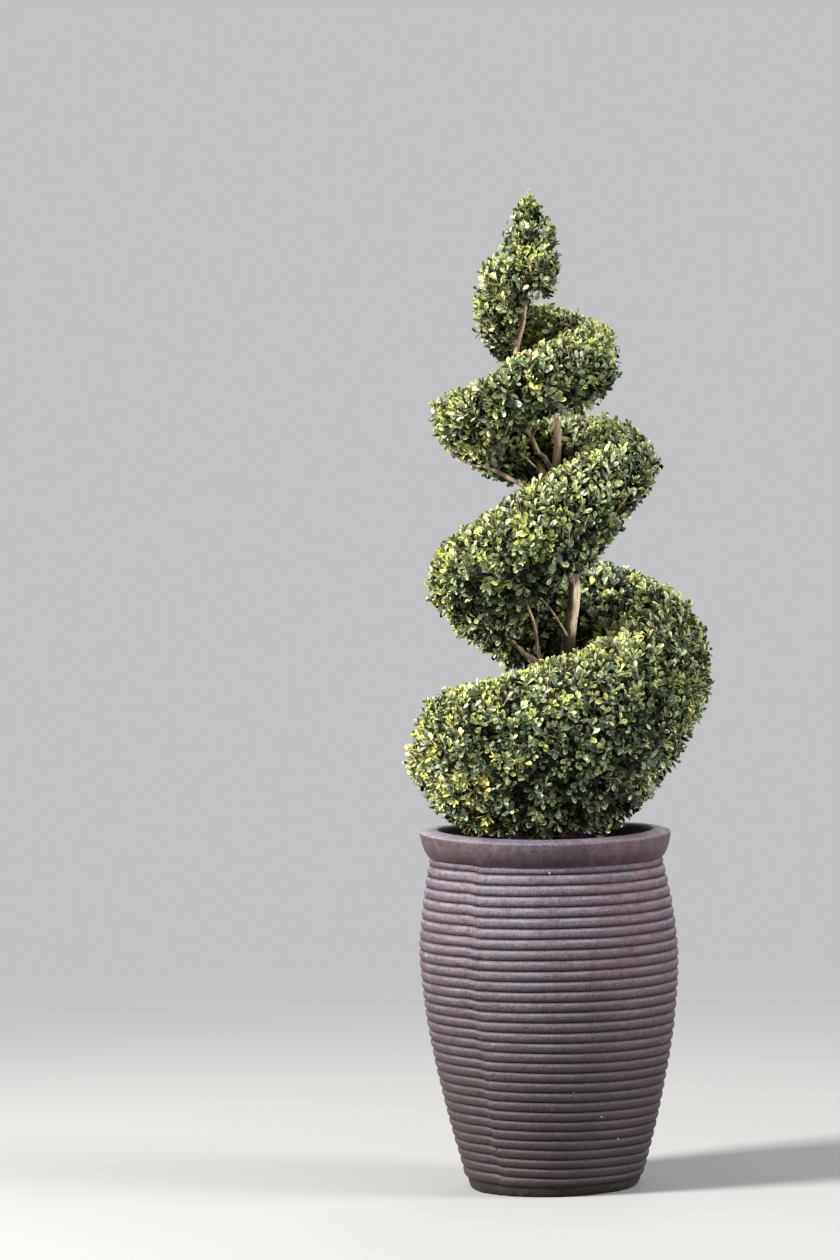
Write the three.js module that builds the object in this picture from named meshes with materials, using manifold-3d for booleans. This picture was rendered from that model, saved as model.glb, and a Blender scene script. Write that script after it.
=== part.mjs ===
// A boxwood clipped as a spiral, in a tall jar with ribs all the way round it.
// Millimetres, +Z up. The origin is the centre of the jar's flat underside, the front faces -Y and
// +X is on the viewer's right. The spiral is a band of foliage that winds down round the trunk:
// "turns" count from its top, each starting on the right and going by the front, left and back.

import * as THREE from 'three';
import { mergeVertices } from 'three/addons/utils/BufferGeometryUtils.js';
import Module from 'manifold-3d';

const wasm = await Module();
wasm.setup();

// Driving dimensions

const CLEARANCE = 0.3; // between pieces that touch

const JAR = {
  height: 610,
  footRadius: 147,
  bellyRadius: 221,
  bellyHeight: 400,
  neckRadius: 197.5,
  neckHeight: 567,
  curvePower: 1.6,
  wall: 22,
  floor: 25,
  sides: 26,
  ribs: 32,
  ribGrowth: 0.1, // the ribs grow this much taller up the jar, and start as much lower
  ribsStart: 23,
  grooveDepth: 4,
  crestShare: 0.45, // how far up its rib the crest lies
  holeRadius: 9,
  holeCircle: 80,
  holes: 3,
};

// The lip's section, from the neck outward, over the top and down to the mouth
const LIP = [
  [203.5, 575],
  [211.5, 592],
  [214, 602],
  [207, 607.6],
  [196, JAR.height],
  [184, 609.5],
  [179, 604],
];

const SOIL_TOP = 555;

// The trunk's centre line and radius, from the soil to its tip under the top tuft
const TRUNK = [
  { z: 555, x: 4, y: 6, radius: 17 },
  { z: 700, x: 20, y: 8, radius: 15.5 },
  { z: 936, x: 49, y: 2, radius: 13 },
  { z: 1027, x: 60, y: -4, radius: 12 },
  { z: 1110, x: 48, y: 2, radius: 10 },
  { z: 1208, x: 32, y: 8, radius: 8 },
  { z: 1290, x: 38, y: 2, radius: 7 },
  { z: 1345, x: 6, y: -10, radius: 6.3 },
  { z: 1400, x: -27, y: -4, radius: 5.8 },
  { z: 1478, x: -15, y: 4, radius: 5.2 },
  { z: 1560, x: -6, y: 0, radius: 4.4 },
  { z: 1597, x: -4, y: 0, radius: 3.8 },
];
const TRUNK_SIDES = 10;
const TRUNK_STEPS = 20;
const FLARE = { height: 45, spread: 8, lobes: 5, lobe: 4 }; // root flare above the soil
const SECTIONS_LOW = 1.15; // more than 1 crowds the trunk's sections low down

// The line that the spiral winds round
const SPIRAL_AXIS = [
  { z: 600, x: 0 },
  { z: 700, x: 5 },
  { z: 760, x: 12 },
  { z: 850, x: 33 },
  { z: 1050, x: 35 },
  { z: 1200, x: 8 },
  { z: 1300, x: 0 },
  { z: 1700, x: -4 },
];

// The band's section at points along its turns: the heights of its top, of its widest place and of
// its bottom, its reach from the spiral's axis there, at its foot and on its inner side, and the
// power of its outline, where 2 is an ellipse and more is squarer
const BAND = [
  { turn: -0.25, top: 1598, belly: 1555, bottom: 1500, reach: 46, foot: 44, inner: 11, power: 3.2 },
  { turn: 0, top: 1598, belly: 1555, bottom: 1512, reach: 51, foot: 42, inner: 12, power: 3.2 },
  { turn: 0.25, top: 1597, belly: 1545, bottom: 1478, reach: 76, foot: 60, inner: 20, power: 3 },
  { turn: 0.5, top: 1590, belly: 1502, bottom: 1424, reach: 99, foot: 76, inner: 31, power: 2.4 },
  { turn: 0.75, top: 1535, belly: 1460, bottom: 1385, reach: 122, foot: 92, inner: 36, power: 2.2 },
  { turn: 1, top: 1486, belly: 1412, bottom: 1338, reach: 147, foot: 118, inner: 42, power: 2.1 },
  { turn: 1.25, top: 1432, belly: 1388, bottom: 1330, reach: 166, foot: 140, inner: 50, power: 2.1 },
  { turn: 1.375, top: 1374, belly: 1336, bottom: 1274, reach: 172, foot: 128, inner: 53, power: 2.1 },
  { turn: 1.5, top: 1352, belly: 1296, bottom: 1226, reach: 177, foot: 118, inner: 56, power: 2.1 },
  { turn: 1.75, top: 1336, belly: 1265, bottom: 1185, reach: 194, foot: 150, inner: 60, power: 1.9 },
  { turn: 2, top: 1313, belly: 1238, bottom: 1142, reach: 211, foot: 160, inner: 62, power: 1.7 },
  { turn: 2.25, top: 1218, belly: 1125, bottom: 1022, reach: 226, foot: 180, inner: 64, power: 1.9 },
  { turn: 2.375, top: 1152, belly: 1070, bottom: 968, reach: 230, foot: 168, inner: 64, power: 1.8 },
  { turn: 2.5, top: 1108, belly: 1022, bottom: 918, reach: 232, foot: 160, inner: 64, power: 1.8 },
  { turn: 2.75, top: 1070, belly: 975, bottom: 880, reach: 253, foot: 190, inner: 64, power: 1.8 },
  { turn: 3, top: 1014, belly: 868, bottom: 860, reach: 255, foot: 200, inner: 62, power: 1.9 },
  { turn: 3.25, top: 918, belly: 805, bottom: 700, reach: 253, foot: 200, inner: 58, power: 2.3 },
  { turn: 3.5, top: 862, belly: 748, bottom: 650, reach: 243, foot: 200, inner: 54, power: 2.7 },
  { turn: 3.75, top: 822, belly: 726, bottom: 629, reach: 250, foot: 200, inner: 53, power: 2.7 },
  { turn: 4, top: 800, belly: 715, bottom: 620, reach: 238, foot: 200, inner: 54, power: 2.6 },
];
// From this turn on the band fills the space down to the jar's mouth
const BUN = { turn: 3, bottom: 604, foot: 166 };
const FOOT_POWER = 2.2;
const SIDES_OF_TURN = ['right', 'front', 'left', 'back'];
const TURNS = 4;
const SECTOR_GAP = 1.5; // half the space between neighbouring masses

// The tuft on top, a blunt cone with one leaf at its point
const TUFT = { x: -4, bottom: 1600, top: 1697, radius: 50, power: 1.4, point: 1661 };

// Leaves stand for sprays, so they are larger than life. They grow in pairs along twigs that slant
// out of the core, with one at the end
const LEAF = {
  base: 25,
  perReach: 0.085,
  width: 0.58,
  thickness: 0.05,
  sunk: 2.2,
  spread: 1.15,
  tipDepth: 1.5,
  tilt: 0.55,
  stretch: 0.85, // how far over the surface its tip lies from its root
};
// Samples on a leaf: its tip, sides and middle, as shares of half its length and width
const LEAF_SAMPLES = [
  [1, 0], [0.5, 0.5], [0.5, -0.5], [0, 1], [0, -1], [0, 0], [0.5, 0], [-0.5, 0.5], [-0.5, -0.5],
];
const VARIATION = 0.1; // of the lengths of leaves and sprigs
const CORE_DEPTH = { base: 2, perReach: 0.055, most: 13 }; // under the outline
const CORE_LEAST = 0.4; // least size of a core, as a share of the outline
const CORE_SIDES = 10;
const CORE_STEPS = 4;
const TWIG = {
  radius: 1.9,
  tipRadius: 1.3,
  sides: 3,
  length: 0.8, // as a share of a leaf's length
  rootDepth: 5, // under the core's surface
  endDepth: 3, // under the outline
  pairs: [0.5, 0.85], // where along it leaves grow in pairs
  endRoom: 0.12, // from the ends of a mass, as a share of its length
};
const TWIG_SPACING = 101; // mean distance between twigs on a mass
const LIMB_ROOM = 7; // between the samples on a leaf or twig and the limbs
const LEAFY_ANGLE = 138; // how far round a section leaves grow to either side of its outermost place

// Boughs rise from the trunk to the inner side of their mass
const FIRST_BOUGH_TURN = 1; // masses above this grow straight from the trunk
const BOUGH = {
  base: 2.3, // radius, with a share of the band's reach added
  perReach: 0.0135,
  taper: 0.66, // tip radius as a share of the first
  collar: 0.12, // how much wider it is where it leaves the trunk
  rise: 62,
  entry: 205, // degrees round the section, from its outermost place over its top
  sides: 6,
  steps: 3,
};
const STEM = { radius: 3.6, tipRadius: 2.2, rise: 12, underTip: 14 };
// Boughs that show in the gaps: where they leave the trunk, and where on the section they enter
const SEEN_BOUGHS = [
  { turn: 1.25, from: 1212, entry: 222 },
  { turn: 1.5, from: 1143, entry: 286 },
  { turn: 2.5, from: 842, entry: 212 },
];

const COLOURS = {
  jar: 0x8a7570,
  soil: 0x2b211b,
  bark: 0x8b7358,
  bough: 0x96795a,
  leaves: [0x5f7a34, 0x6d8a3a, 0x55702f, 0x7c9a45],
};

// Small maths

const TAU = 2 * Math.PI;

function radians(degrees) {
  return (degrees * Math.PI) / 180;
}

// A seeded run of numbers from 0 to 1
function randomRun(seed) {
  let state = seed;
  return () => {
    state = (state + 0x6d2b79f5) | 0;
    let mixed = Math.imul(state ^ (state >>> 15), 1 | state);
    mixed = (mixed + Math.imul(mixed ^ (mixed >>> 7), 61 | mixed)) ^ mixed;
    return ((mixed ^ (mixed >>> 14)) >>> 0) / 4294967296;
  };
}

function varied(size, random) {
  return size * (1 + VARIATION * (2 * random() - 1));
}

// Smooth values between rows of named sizes, as a function of the rows' first name
function smoothRows(rows) {
  const [key, ...names] = Object.keys(rows[0]);
  const places = rows.map((row) => row[key]);
  const values = rows.flatMap((row) => names.map((name) => row[name]));
  const curve = new THREE.CubicInterpolant(places, values, names.length, new Float64Array(names.length));
  return (at) => {
    const result = curve.evaluate(Math.min(Math.max(at, places[0]), places.at(-1)));
    return Object.fromEntries(names.map((name, index) => [name, result[index]]));
  };
}

const trunkAt = smoothRows(TRUNK);
const spiralAxisAt = smoothRows(SPIRAL_AXIS);
const bandAt = smoothRows(BAND);

function trunkPoint(z) {
  const { x, y } = trunkAt(z);
  return new THREE.Vector3(x, y, z);
}

// A point on a rounded square of the given power, 1 from its middle to its sides
function roundedSquare(angle, power) {
  const across = Math.cos(angle);
  const up = Math.sin(angle);
  const size = (Math.abs(across) ** power + Math.abs(up) ** power) ** (-1 / power);
  return { across: across * size, up: up * size };
}

// Closed solids

// A geometry whose shared corners are merged, without triangles that have no area
function closedGeometry(geometry) {
  geometry.deleteAttribute('normal');
  geometry.deleteAttribute('uv');
  const merged = mergeVertices(geometry, 1e-4);
  const corners = merged.index.array;
  const kept = [];
  for (let at = 0; at < corners.length; at += 3) {
    const [a, b, c] = corners.slice(at, at + 3);
    if (a !== b && b !== c && c !== a) kept.push(a, b, c);
  }
  merged.setIndex(kept);
  return merged;
}

function solidFrom(geometry) {
  const closed = closedGeometry(geometry);
  return new wasm.Manifold(new wasm.Mesh({
    numProp: 3,
    vertProperties: new Float32Array(closed.attributes.position.array),
    triVerts: new Uint32Array(closed.index.array),
  }));
}

function geometryFrom(solid) {
  const mesh = solid.getMesh();
  const geometry = new THREE.BufferGeometry();
  geometry.setAttribute('position', new THREE.BufferAttribute(new Float32Array(mesh.vertProperties), 3));
  geometry.setIndex(new THREE.BufferAttribute(new Uint32Array(mesh.triVerts), 1));
  geometry.computeVertexNormals();
  return geometry;
}

// The largest body of a solid: it leaves out loose scraps and fills sealed hollows
function largestBody(solid) {
  const bodies = solid.decompose();
  return bodies.reduce((best, body) => (body.volume() > best.volume() ? body : best));
}

// A cylinder bent along a path: place(share, angle) is a point on it, from share 0 to 1
function bentCylinder(place, sides, steps) {
  const geometry = new THREE.CylinderGeometry(1, 1, 1, sides, steps);
  const position = geometry.attributes.position;
  for (let at = 0; at < position.count; at += 1) {
    const size = Math.hypot(position.getX(at), position.getZ(at));
    const angle = Math.atan2(position.getZ(at), position.getX(at));
    const point = place(position.getY(at) + 0.5, angle, size > 0.5 ? 1 : 0);
    position.setXYZ(at, point.x, point.y, point.z);
  }
  return geometry;
}

// A limb along a three.js curve, with its sections square to the curve
function limbSolid(curve, radiusAt, sides, steps) {
  return solidFrom(bentCylinder((share, angle, size) => {
    const along = curve.getTangent(share);
    const helper = Math.abs(along.z) > 0.9 ? new THREE.Vector3(1, 0, 0) : new THREE.Vector3(0, 0, 1);
    const across = new THREE.Vector3().crossVectors(helper, along).normalize();
    const third = new THREE.Vector3().crossVectors(across, along);
    return curve.getPoint(share)
      .addScaledVector(across, radiusAt(share) * size * Math.cos(angle))
      .addScaledVector(third, radiusAt(share) * size * Math.sin(angle));
  }, sides, steps));
}

// Jar and soil

// The jar's outer radius without its ribs
function jarRadius(z) {
  const below = z < JAR.bellyHeight;
  const drop = JAR.bellyRadius - (below ? JAR.footRadius : JAR.neckRadius);
  const span = below ? JAR.bellyHeight : JAR.neckHeight - JAR.bellyHeight;
  return JAR.bellyRadius - drop * (Math.abs(z - JAR.bellyHeight) / span) ** JAR.curvePower;
}

// Radii and heights up the inside wall, from the floor to a given height
function insideWall(top, inset) {
  const steps = 6;
  return Array.from({ length: steps + 1 }, (_, step) => {
    const z = JAR.floor + inset + ((top - JAR.floor - inset) * step) / steps;
    return [jarRadius(Math.min(z, JAR.neckHeight)) - JAR.wall - inset, z];
  });
}

function turned(profile) {
  const points = profile.map(([radius, z]) => new THREE.Vector2(radius, z));
  return new THREE.LatheGeometry(points, JAR.sides).rotateX(Math.PI / 2);
}

function ribProfile() {
  const zone = JAR.neckHeight - JAR.ribsStart;
  const heightAt = (share) => JAR.ribsStart + zone * share * (1 + JAR.ribGrowth * (share - 1));
  const profile = [];
  for (let rib = 0; rib <= JAR.ribs; rib += 1) {
    const groove = heightAt(rib / JAR.ribs);
    const crest = heightAt((rib + JAR.crestShare) / JAR.ribs);
    profile.push([jarRadius(groove) - JAR.grooveDepth, groove]);
    if (rib < JAR.ribs) profile.push([jarRadius(crest), crest]);
  }
  return profile;
}

function jarSolid() {
  const foot = [[0, 0], [JAR.footRadius, 0], [jarRadius(JAR.ribsStart), JAR.ribsStart - JAR.grooveDepth]];
  const neck = [JAR.neckRadius - JAR.wall, JAR.neckHeight];
  const inside = [...insideWall(SOIL_TOP, 0), neck].reverse();
  let jar = solidFrom(turned([...foot, ...ribProfile(), ...LIP, ...inside, [0, JAR.floor]]));
  for (let hole = 0; hole < JAR.holes; hole += 1) {
    const drill = new THREE.CylinderGeometry(JAR.holeRadius, JAR.holeRadius, 3 * JAR.floor, 12);
    drill.rotateX(Math.PI / 2);
    drill.translate(JAR.holeCircle, 0, 0);
    drill.rotateZ((TAU * (hole + 0.5)) / JAR.holes);
    jar = jar.subtract(solidFrom(drill));
  }
  return jar;
}

function soilSolid() {
  return solidFrom(turned([[0, JAR.floor + CLEARANCE], ...insideWall(SOIL_TOP, CLEARANCE), [0, SOIL_TOP]]));
}

// Trunk

// The root flare widens the trunk in lobes just above the soil
function flare(height, angle) {
  const share = Math.max(0, 1 - height / FLARE.height) ** 2;
  return share * (FLARE.spread + FLARE.lobe * Math.cos(FLARE.lobes * angle));
}

// The trunk, grown all over by an amount: level sections, from a flat cut at the soil
function trunkSolid(grown) {
  const foot = SOIL_TOP + CLEARANCE;
  const bottom = foot - grown;
  const top = TRUNK.at(-1).z + grown;
  return solidFrom(bentCylinder((share, angle, size) => {
    const z = bottom + (top - bottom) * share ** SECTIONS_LOW;
    const centre = trunkAt(z);
    const radius = (centre.radius + flare(z - foot, angle) + grown) * size;
    return new THREE.Vector3(centre.x + radius * Math.cos(angle), centre.y - radius * Math.sin(angle), z);
  }, TRUNK_SIDES, TRUNK_STEPS));
}

const cutForTrunk = trunkSolid(CLEARANCE);

// Spaces that the masses of foliage keep to

// The band's inner and outer side at a height from -1, its bottom, over 0, its belly, to 1, its top
function bandEdges(size, up) {
  const drawnIn = up < 0 ? (size.reach - size.foot) * (-up) ** FOOT_POWER : 0;
  return { inner: size.inner, outer: size.reach - drawnIn };
}

// The space of one quarter turn of the band, about a given turn
function bandSpace(turn) {
  const half = 1 / (2 * SIDES_OF_TURN.length);
  const filled = turn >= BUN.turn ? { bottom: BUN.bottom, foot: BUN.foot } : {};
  const sizeAt = (atTurn) => ({ ...bandAt(atTurn), ...filled });
  const middle = sizeAt(turn);

  // A point of the band's surface at a turn and an angle round its section, drawn in by a depth
  function pointAt(atTurn, angle, depth) {
    const size = sizeAt(atTurn);
    const { across, up } = roundedSquare(angle, size.power);
    const height = up < 0 ? size.belly - size.bottom : size.top - size.belly;
    const { inner, outer } = bandEdges(size, up);
    const width = (outer - inner) / 2;
    const z = size.belly + up * Math.max(height - depth, height * CORE_LEAST);
    const radius = (outer + inner) / 2 + across * Math.max(width - depth, width * CORE_LEAST);
    const azimuth = -TAU * atTurn;
    return new THREE.Vector3(
      spiralAxisAt(z).x + radius * Math.cos(azimuth),
      radius * Math.sin(azimuth),
      z,
    );
  }

  function contains(point) {
    const x = point.x - spiralAxisAt(point.z).x;
    const radius = Math.hypot(x, point.y);
    const offset = -Math.atan2(point.y, x) / TAU - turn;
    const fromMiddle = offset - Math.round(offset);
    if ((half - Math.abs(fromMiddle)) * TAU * radius < SECTOR_GAP) return false;
    const size = sizeAt(turn + fromMiddle);
    const rise = point.z - size.belly;
    const up = rise / (rise < 0 ? size.belly - size.bottom : size.top - size.belly);
    if (Math.abs(up) > 1) return false;
    const { inner, outer } = bandEdges(size, up);
    const across = Math.abs(radius - (outer + inner) / 2) / ((outer - inner) / 2);
    return across ** size.power + Math.abs(up) ** size.power <= 1;
  }

  // Its ends stop short of its neighbours; share 0 is the low end and 1 the high one
  const endGap = SECTOR_GAP / (TAU * middle.inner);
  const turnAt = (share) => turn + (half - endGap) * (1 - 2 * share);
  return {
    contains,
    pointAt: (share, angle, depth) => pointAt(turnAt(share), angle, depth),
    leaf: LEAF.base + LEAF.perReach * middle.reach,
    coreDepth: Math.min(CORE_DEPTH.base + CORE_DEPTH.perReach * middle.reach, CORE_DEPTH.most),
    leafyAngle: radians(LEAFY_ANGLE),
    heart: pointAt(turn, 0, 0).lerp(pointAt(turn, Math.PI, 0), 0.5),
    turn,
  };
}

// The space of the tuft on top: angle 0 to 360 degrees goes round it and share 0 to 1 up it
function tuftSpace() {
  const height = TUFT.top - TUFT.bottom;
  const radiusAt = (share) => TUFT.radius * (1 - share ** TUFT.power);
  return {
    contains(point) {
      const share = (point.z - TUFT.bottom) / height;
      if (share < 0 || share > 1) return false;
      return Math.hypot(point.x - TUFT.x, point.y) <= radiusAt(share) + 1;
    },
    pointAt(share, angle, depth) {
      const radius = Math.max(radiusAt(share) - depth, TUFT.radius * 0.1);
      const z = TUFT.bottom + Math.min(Math.max(share * height, depth / 3), height - depth);
      return new THREE.Vector3(TUFT.x + radius * Math.cos(angle), -radius * Math.sin(angle), z);
    },
    leaf: LEAF.base,
    coreDepth: CORE_DEPTH.base + CORE_DEPTH.perReach * TUFT.radius,
    leafyAngle: Math.PI,
    heart: new THREE.Vector3(TUFT.x, 0, TUFT.bottom + height * 0.5),
    turn: -1,
  };
}

// Foliage

// One leaf, 8 faces over its outline, from its root along a direction, with its blade facing another
function leafShape(root, along, facing, length) {
  const across = new THREE.Vector3().crossVectors(facing, along).normalize();
  const up = new THREE.Vector3().crossVectors(along, across);
  const middle = root.clone().addScaledVector(along, length / 2 - LEAF.sunk);
  const place = new THREE.Matrix4().makeBasis(along, across, up).setPosition(middle);
  place.scale(new THREE.Vector3(length / 2, (length * LEAF.width) / 2, (length * LEAF.thickness) / 2));
  const geometry = new THREE.OctahedronGeometry(1, 0).applyMatrix4(place);
  const samples = LEAF_SAMPLES.map(([x, y]) => new THREE.Vector3(x, y, 0).applyMatrix4(place));
  return { geometry, samples };
}

function twigShape(from, to) {
  const curve = new THREE.LineCurve3(from, to);
  return limbSolid(curve, (share) => TWIG.radius + (TWIG.tipRadius - TWIG.radius) * share, TWIG.sides, 1);
}

// A unit vector square to another, turned round it by an angle
function sideways(normal, angle) {
  const helper = Math.abs(normal.z) > 0.8 ? new THREE.Vector3(1, 0, 0) : new THREE.Vector3(0, 0, 1);
  return new THREE.Vector3().crossVectors(normal, helper).normalize().applyAxisAngle(normal, angle);
}

// The outward normal of a space's surface
function normalAt(space, share, angle) {
  const step = 0.01;
  const along = space.pointAt(share + step, angle, 0).sub(space.pointAt(share - step, angle, 0));
  const round = space.pointAt(share, angle + step, 0).sub(space.pointAt(share, angle - step, 0));
  const normal = new THREE.Vector3().crossVectors(along, round).normalize();
  const outward = space.pointAt(share, angle, 0).sub(space.pointAt(share, angle, 8));
  return normal.dot(outward) < 0 ? normal.negate() : normal;
}

// How much leafy surface a space has, for an even spread of twigs
function surfaceOf(space) {
  const steps = 12;
  const turnStep = (2 * space.leafyAngle) / steps;
  let area = 0;
  for (let row = 0; row < steps; row += 1) {
    for (let column = 0; column < steps; column += 1) {
      const share = row / steps;
      const angle = turnStep * column - space.leafyAngle;
      const corner = space.pointAt(share, angle, 0);
      const up = space.pointAt(share + 1 / steps, angle, 0).sub(corner);
      const round = space.pointAt(share, angle + turnStep, 0).sub(corner);
      area += up.cross(round).length();
    }
  }
  return area;
}

// Whether any of some points lies within a distance of a limb's surface
function touchesLimb(points, limbs, distance) {
  return limbs.some((limb) => points.some((point) => limb.distanceTo(point) < distance));
}

// A limb as seen from outside: its distance to a point, from samples along its centre line
function limbGauge(pointAt, radiusAt, steps) {
  const samples = Array.from({ length: steps + 1 }, (_, step) => {
    const share = step / steps;
    return { point: pointAt(share), radius: radiusAt(share) };
  });
  return {
    distanceTo(point) {
      return Math.min(...samples.map((sample) => sample.point.distanceTo(point) - sample.radius));
    },
  };
}

// The place reached by going a distance over a space's surface at a heading
function goOver(space, place, heading, distance) {
  const step = 0.01;
  const here = space.pointAt(place.share, place.angle, 0);
  const perShare = here.distanceTo(space.pointAt(place.share + step, place.angle, 0)) / step;
  const perAngle = here.distanceTo(space.pointAt(place.share, place.angle + step, 0)) / step;
  return {
    share: place.share + (Math.cos(heading) * distance) / perShare,
    angle: place.angle + (Math.sin(heading) * distance) / Math.max(perAngle, 1),
  };
}

// A twig over a mass's surface with its leaves in pairs and one leaf at the end, without leaves
// that would leave the space or touch a limb
function sprig(space, place, limbs, random) {
  const length = varied(space.leaf, random);
  const heading = TAU * random();
  const base = space.pointAt(place.share, place.angle, space.coreDepth + TWIG.rootDepth);
  const endPlace = goOver(space, place, heading, length * TWIG.length);
  const end = space.pointAt(endPlace.share, endPlace.angle, TWIG.endDepth);
  const leafAt = (share, turned) => {
    const root = base.clone().lerp(end, share);
    const from = goOver(space, place, heading, length * TWIG.length * share);
    const to = goOver(space, from, heading + turned, length * LEAF.stretch);
    const tip = space.pointAt(to.share, to.angle, LEAF.tipDepth);
    const along = tip.sub(root).normalize();
    const aside = sideways(along, TAU * random()).multiplyScalar(LEAF.tilt);
    const facing = normalAt(space, to.share, to.angle).add(aside);
    return leafShape(root, along, facing, varied(length, random));
  };
  const pairs = TWIG.pairs.flatMap((share) => [leafAt(share, LEAF.spread), leafAt(share, -LEAF.spread)]);
  const leaves = [leafAt(1, 0), ...pairs]
    .filter(({ samples }) => samples.every(space.contains) && !touchesLimb(samples, limbs, LIMB_ROOM));
  const twig = [0, 0.25, 0.5, 0.75, 1].map((share) => base.clone().lerp(end, share));
  if (leaves.length === 0 || touchesLimb(twig, limbs, LIMB_ROOM) || !space.contains(end)) return [];
  return [twigShape(base, end), ...leaves.map(({ geometry }) => solidFrom(geometry))];
}

// The sprigs of a mass, spread evenly over it
function sprigSolids(space, limbs, random) {
  const count = Math.round(surfaceOf(space) / TWIG_SPACING ** 2);
  const golden = (Math.sqrt(5) - 1) / 2;
  const start = random();
  return Array.from({ length: count }, (_, twig) => {
    const share = TWIG.endRoom + ((1 - 2 * TWIG.endRoom) * (twig + 0.5)) / count;
    const angle = space.leafyAngle * (2 * ((start + twig * golden) % 1) - 1);
    return sprig(space, { share, angle }, limbs, random);
  }).flat();
}

function coreSolid(space) {
  return solidFrom(bentCylinder((share, angle, size) => {
    const depth = space.coreDepth;
    if (size > 0) return space.pointAt(share, angle, depth);
    return space.pointAt(share, 0, depth).lerp(space.pointAt(share, Math.PI, depth), 0.5);
  }, CORE_SIDES, CORE_STEPS));
}

// A whole mass: stem, core, twigs and leaves in one body, cut clear of the trunk
function massSolid(space, stem, limbs, seed) {
  const parts = [coreSolid(space), ...stem, ...sprigSolids(space, limbs, randomRun(seed))];
  return largestBody(wasm.Manifold.union(parts).subtract(cutForTrunk));
}

// Boughs and the stems that carry on from them

// A bough's curve from the trunk's centre line, rising and then bending out to its mass
function boughCurve(space) {
  const seen = SEEN_BOUGHS.find((bough) => bough.turn === space.turn);
  const entry = radians(seen ? seen.entry : BOUGH.entry);
  const end = space.pointAt(0.5, entry, 4);
  const start = trunkPoint(seen ? seen.from : end.z - BOUGH.rise);
  const bend = start.clone().lerp(end, 0.45);
  bend.z += 0.12 * start.distanceTo(end);
  return new THREE.QuadraticBezierCurve3(start, bend, end);
}

function boughRadius(space) {
  const base = BOUGH.base + BOUGH.perReach * bandAt(space.turn).reach;
  return (share) => base * (1 + (BOUGH.taper - 1) * share + BOUGH.collar * Math.max(0, 1 - 4 * share));
}

// The stem that starts just clear of a bough's tip and ends in the heart of the mass
function stemFromBough(space, curve, tipRadius) {
  const tip = curve.getPoint(1).addScaledVector(curve.getTangent(1), CLEARANCE);
  const ahead = tip.clone().addScaledVector(curve.getTangent(1), STEM.rise);
  const path = new THREE.QuadraticBezierCurve3(tip, ahead, space.heart);
  return limbSolid(path, (share) => tipRadius * (1 - 0.4 * share), BOUGH.sides, 3);
}

// The stem of a mass that grows straight from the trunk; the trunk is cut out of it afterwards
function stemFromTrunk(space) {
  const from = trunkPoint(Math.min(space.heart.z - STEM.rise, TRUNK.at(-1).z - STEM.underTip));
  const radiusAt = (share) => STEM.radius + (STEM.tipRadius - STEM.radius) * share;
  return limbSolid(new THREE.LineCurve3(from, space.heart), radiusAt, BOUGH.sides, 2);
}

// The stem of the tuft carries the trunk's tip on upward and ends in the leaf at the point
function stemOfTuft() {
  const top = TRUNK.at(-1);
  const from = trunkPoint(top.z).add(new THREE.Vector3(0, 0, CLEARANCE));
  const to = new THREE.Vector3(TUFT.x, 0, TUFT.point);
  const up = new THREE.Vector3(0, 0, 1);
  const leaf = leafShape(to, up, new THREE.Vector3(0, -1, 0), TUFT.top - TUFT.point);
  const radiusAt = (share) => top.radius * (1 - share / 2);
  return [limbSolid(new THREE.LineCurve3(from, to), radiusAt, BOUGH.sides, 2), solidFrom(leaf.geometry)];
}

// Assembly

const boxwood = new THREE.Group();

function addPiece(name, solid, colour, roughness) {
  const material = new THREE.MeshStandardMaterial({ color: colour, roughness, metalness: 0 });
  const mesh = new THREE.Mesh(geometryFrom(solid), material);
  mesh.name = name;
  boxwood.add(mesh);
}

addPiece('pot', jarSolid(), COLOURS.jar, 0.75);
addPiece('soil', soilSolid(), COLOURS.soil, 0.95);
addPiece('trunk', trunkSolid(0), COLOURS.bark, 0.85);

const trunkSpan = TRUNK.at(-1).z - SOIL_TOP;
const trunkGauge = limbGauge(
  (share) => trunkPoint(SOIL_TOP + share * trunkSpan),
  (share) => trunkAt(SOIL_TOP + share * trunkSpan).radius,
  100,
);

const quarters = Array.from({ length: TURNS * SIDES_OF_TURN.length }, (_, quarter) => {
  const side = SIDES_OF_TURN[quarter % SIDES_OF_TURN.length];
  const round = Math.floor(quarter / SIDES_OF_TURN.length) + 1;
  const space = bandSpace(quarter / SIDES_OF_TURN.length);
  return { name: `turn_${round}_${side}`, seed: 100 + quarter, space };
});

const limbs = [trunkGauge];
for (const quarter of quarters.filter(({ space }) => space.turn >= FIRST_BOUGH_TURN)) {
  const curve = boughCurve(quarter.space);
  const radiusAt = boughRadius(quarter.space);
  const bough = limbSolid(curve, radiusAt, BOUGH.sides, BOUGH.steps).subtract(cutForTrunk);
  addPiece(`bough_${quarter.name}`, largestBody(bough), COLOURS.bough, 0.85);
  limbs.push(limbGauge((share) => curve.getPoint(share), radiusAt, 40));
  quarter.stem = stemFromBough(quarter.space, curve, radiusAt(1));
}

for (const [index, quarter] of quarters.entries()) {
  const stem = quarter.stem ?? stemFromTrunk(quarter.space);
  const colour = COLOURS.leaves[index % COLOURS.leaves.length];
  addPiece(`foliage_${quarter.name}`, massSolid(quarter.space, [stem], limbs, quarter.seed), colour, 0.6);
}
addPiece('foliage_tip', massSolid(tuftSpace(), stemOfTuft(), [trunkGauge], 99), COLOURS.leaves[3], 0.6);

export default boxwood;
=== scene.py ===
"""A boxwood clipped as a spiral, in a tall weathered jar with ribs all the way round it.

Sizes are in millimetres until a mesh is made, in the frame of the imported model: +Z up, and the
front faces -Y. The spiral is a band of foliage that winds down round the trunk: "turns" count along
it from its top, each starting on the right and going by the front, left and back.
"""

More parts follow.
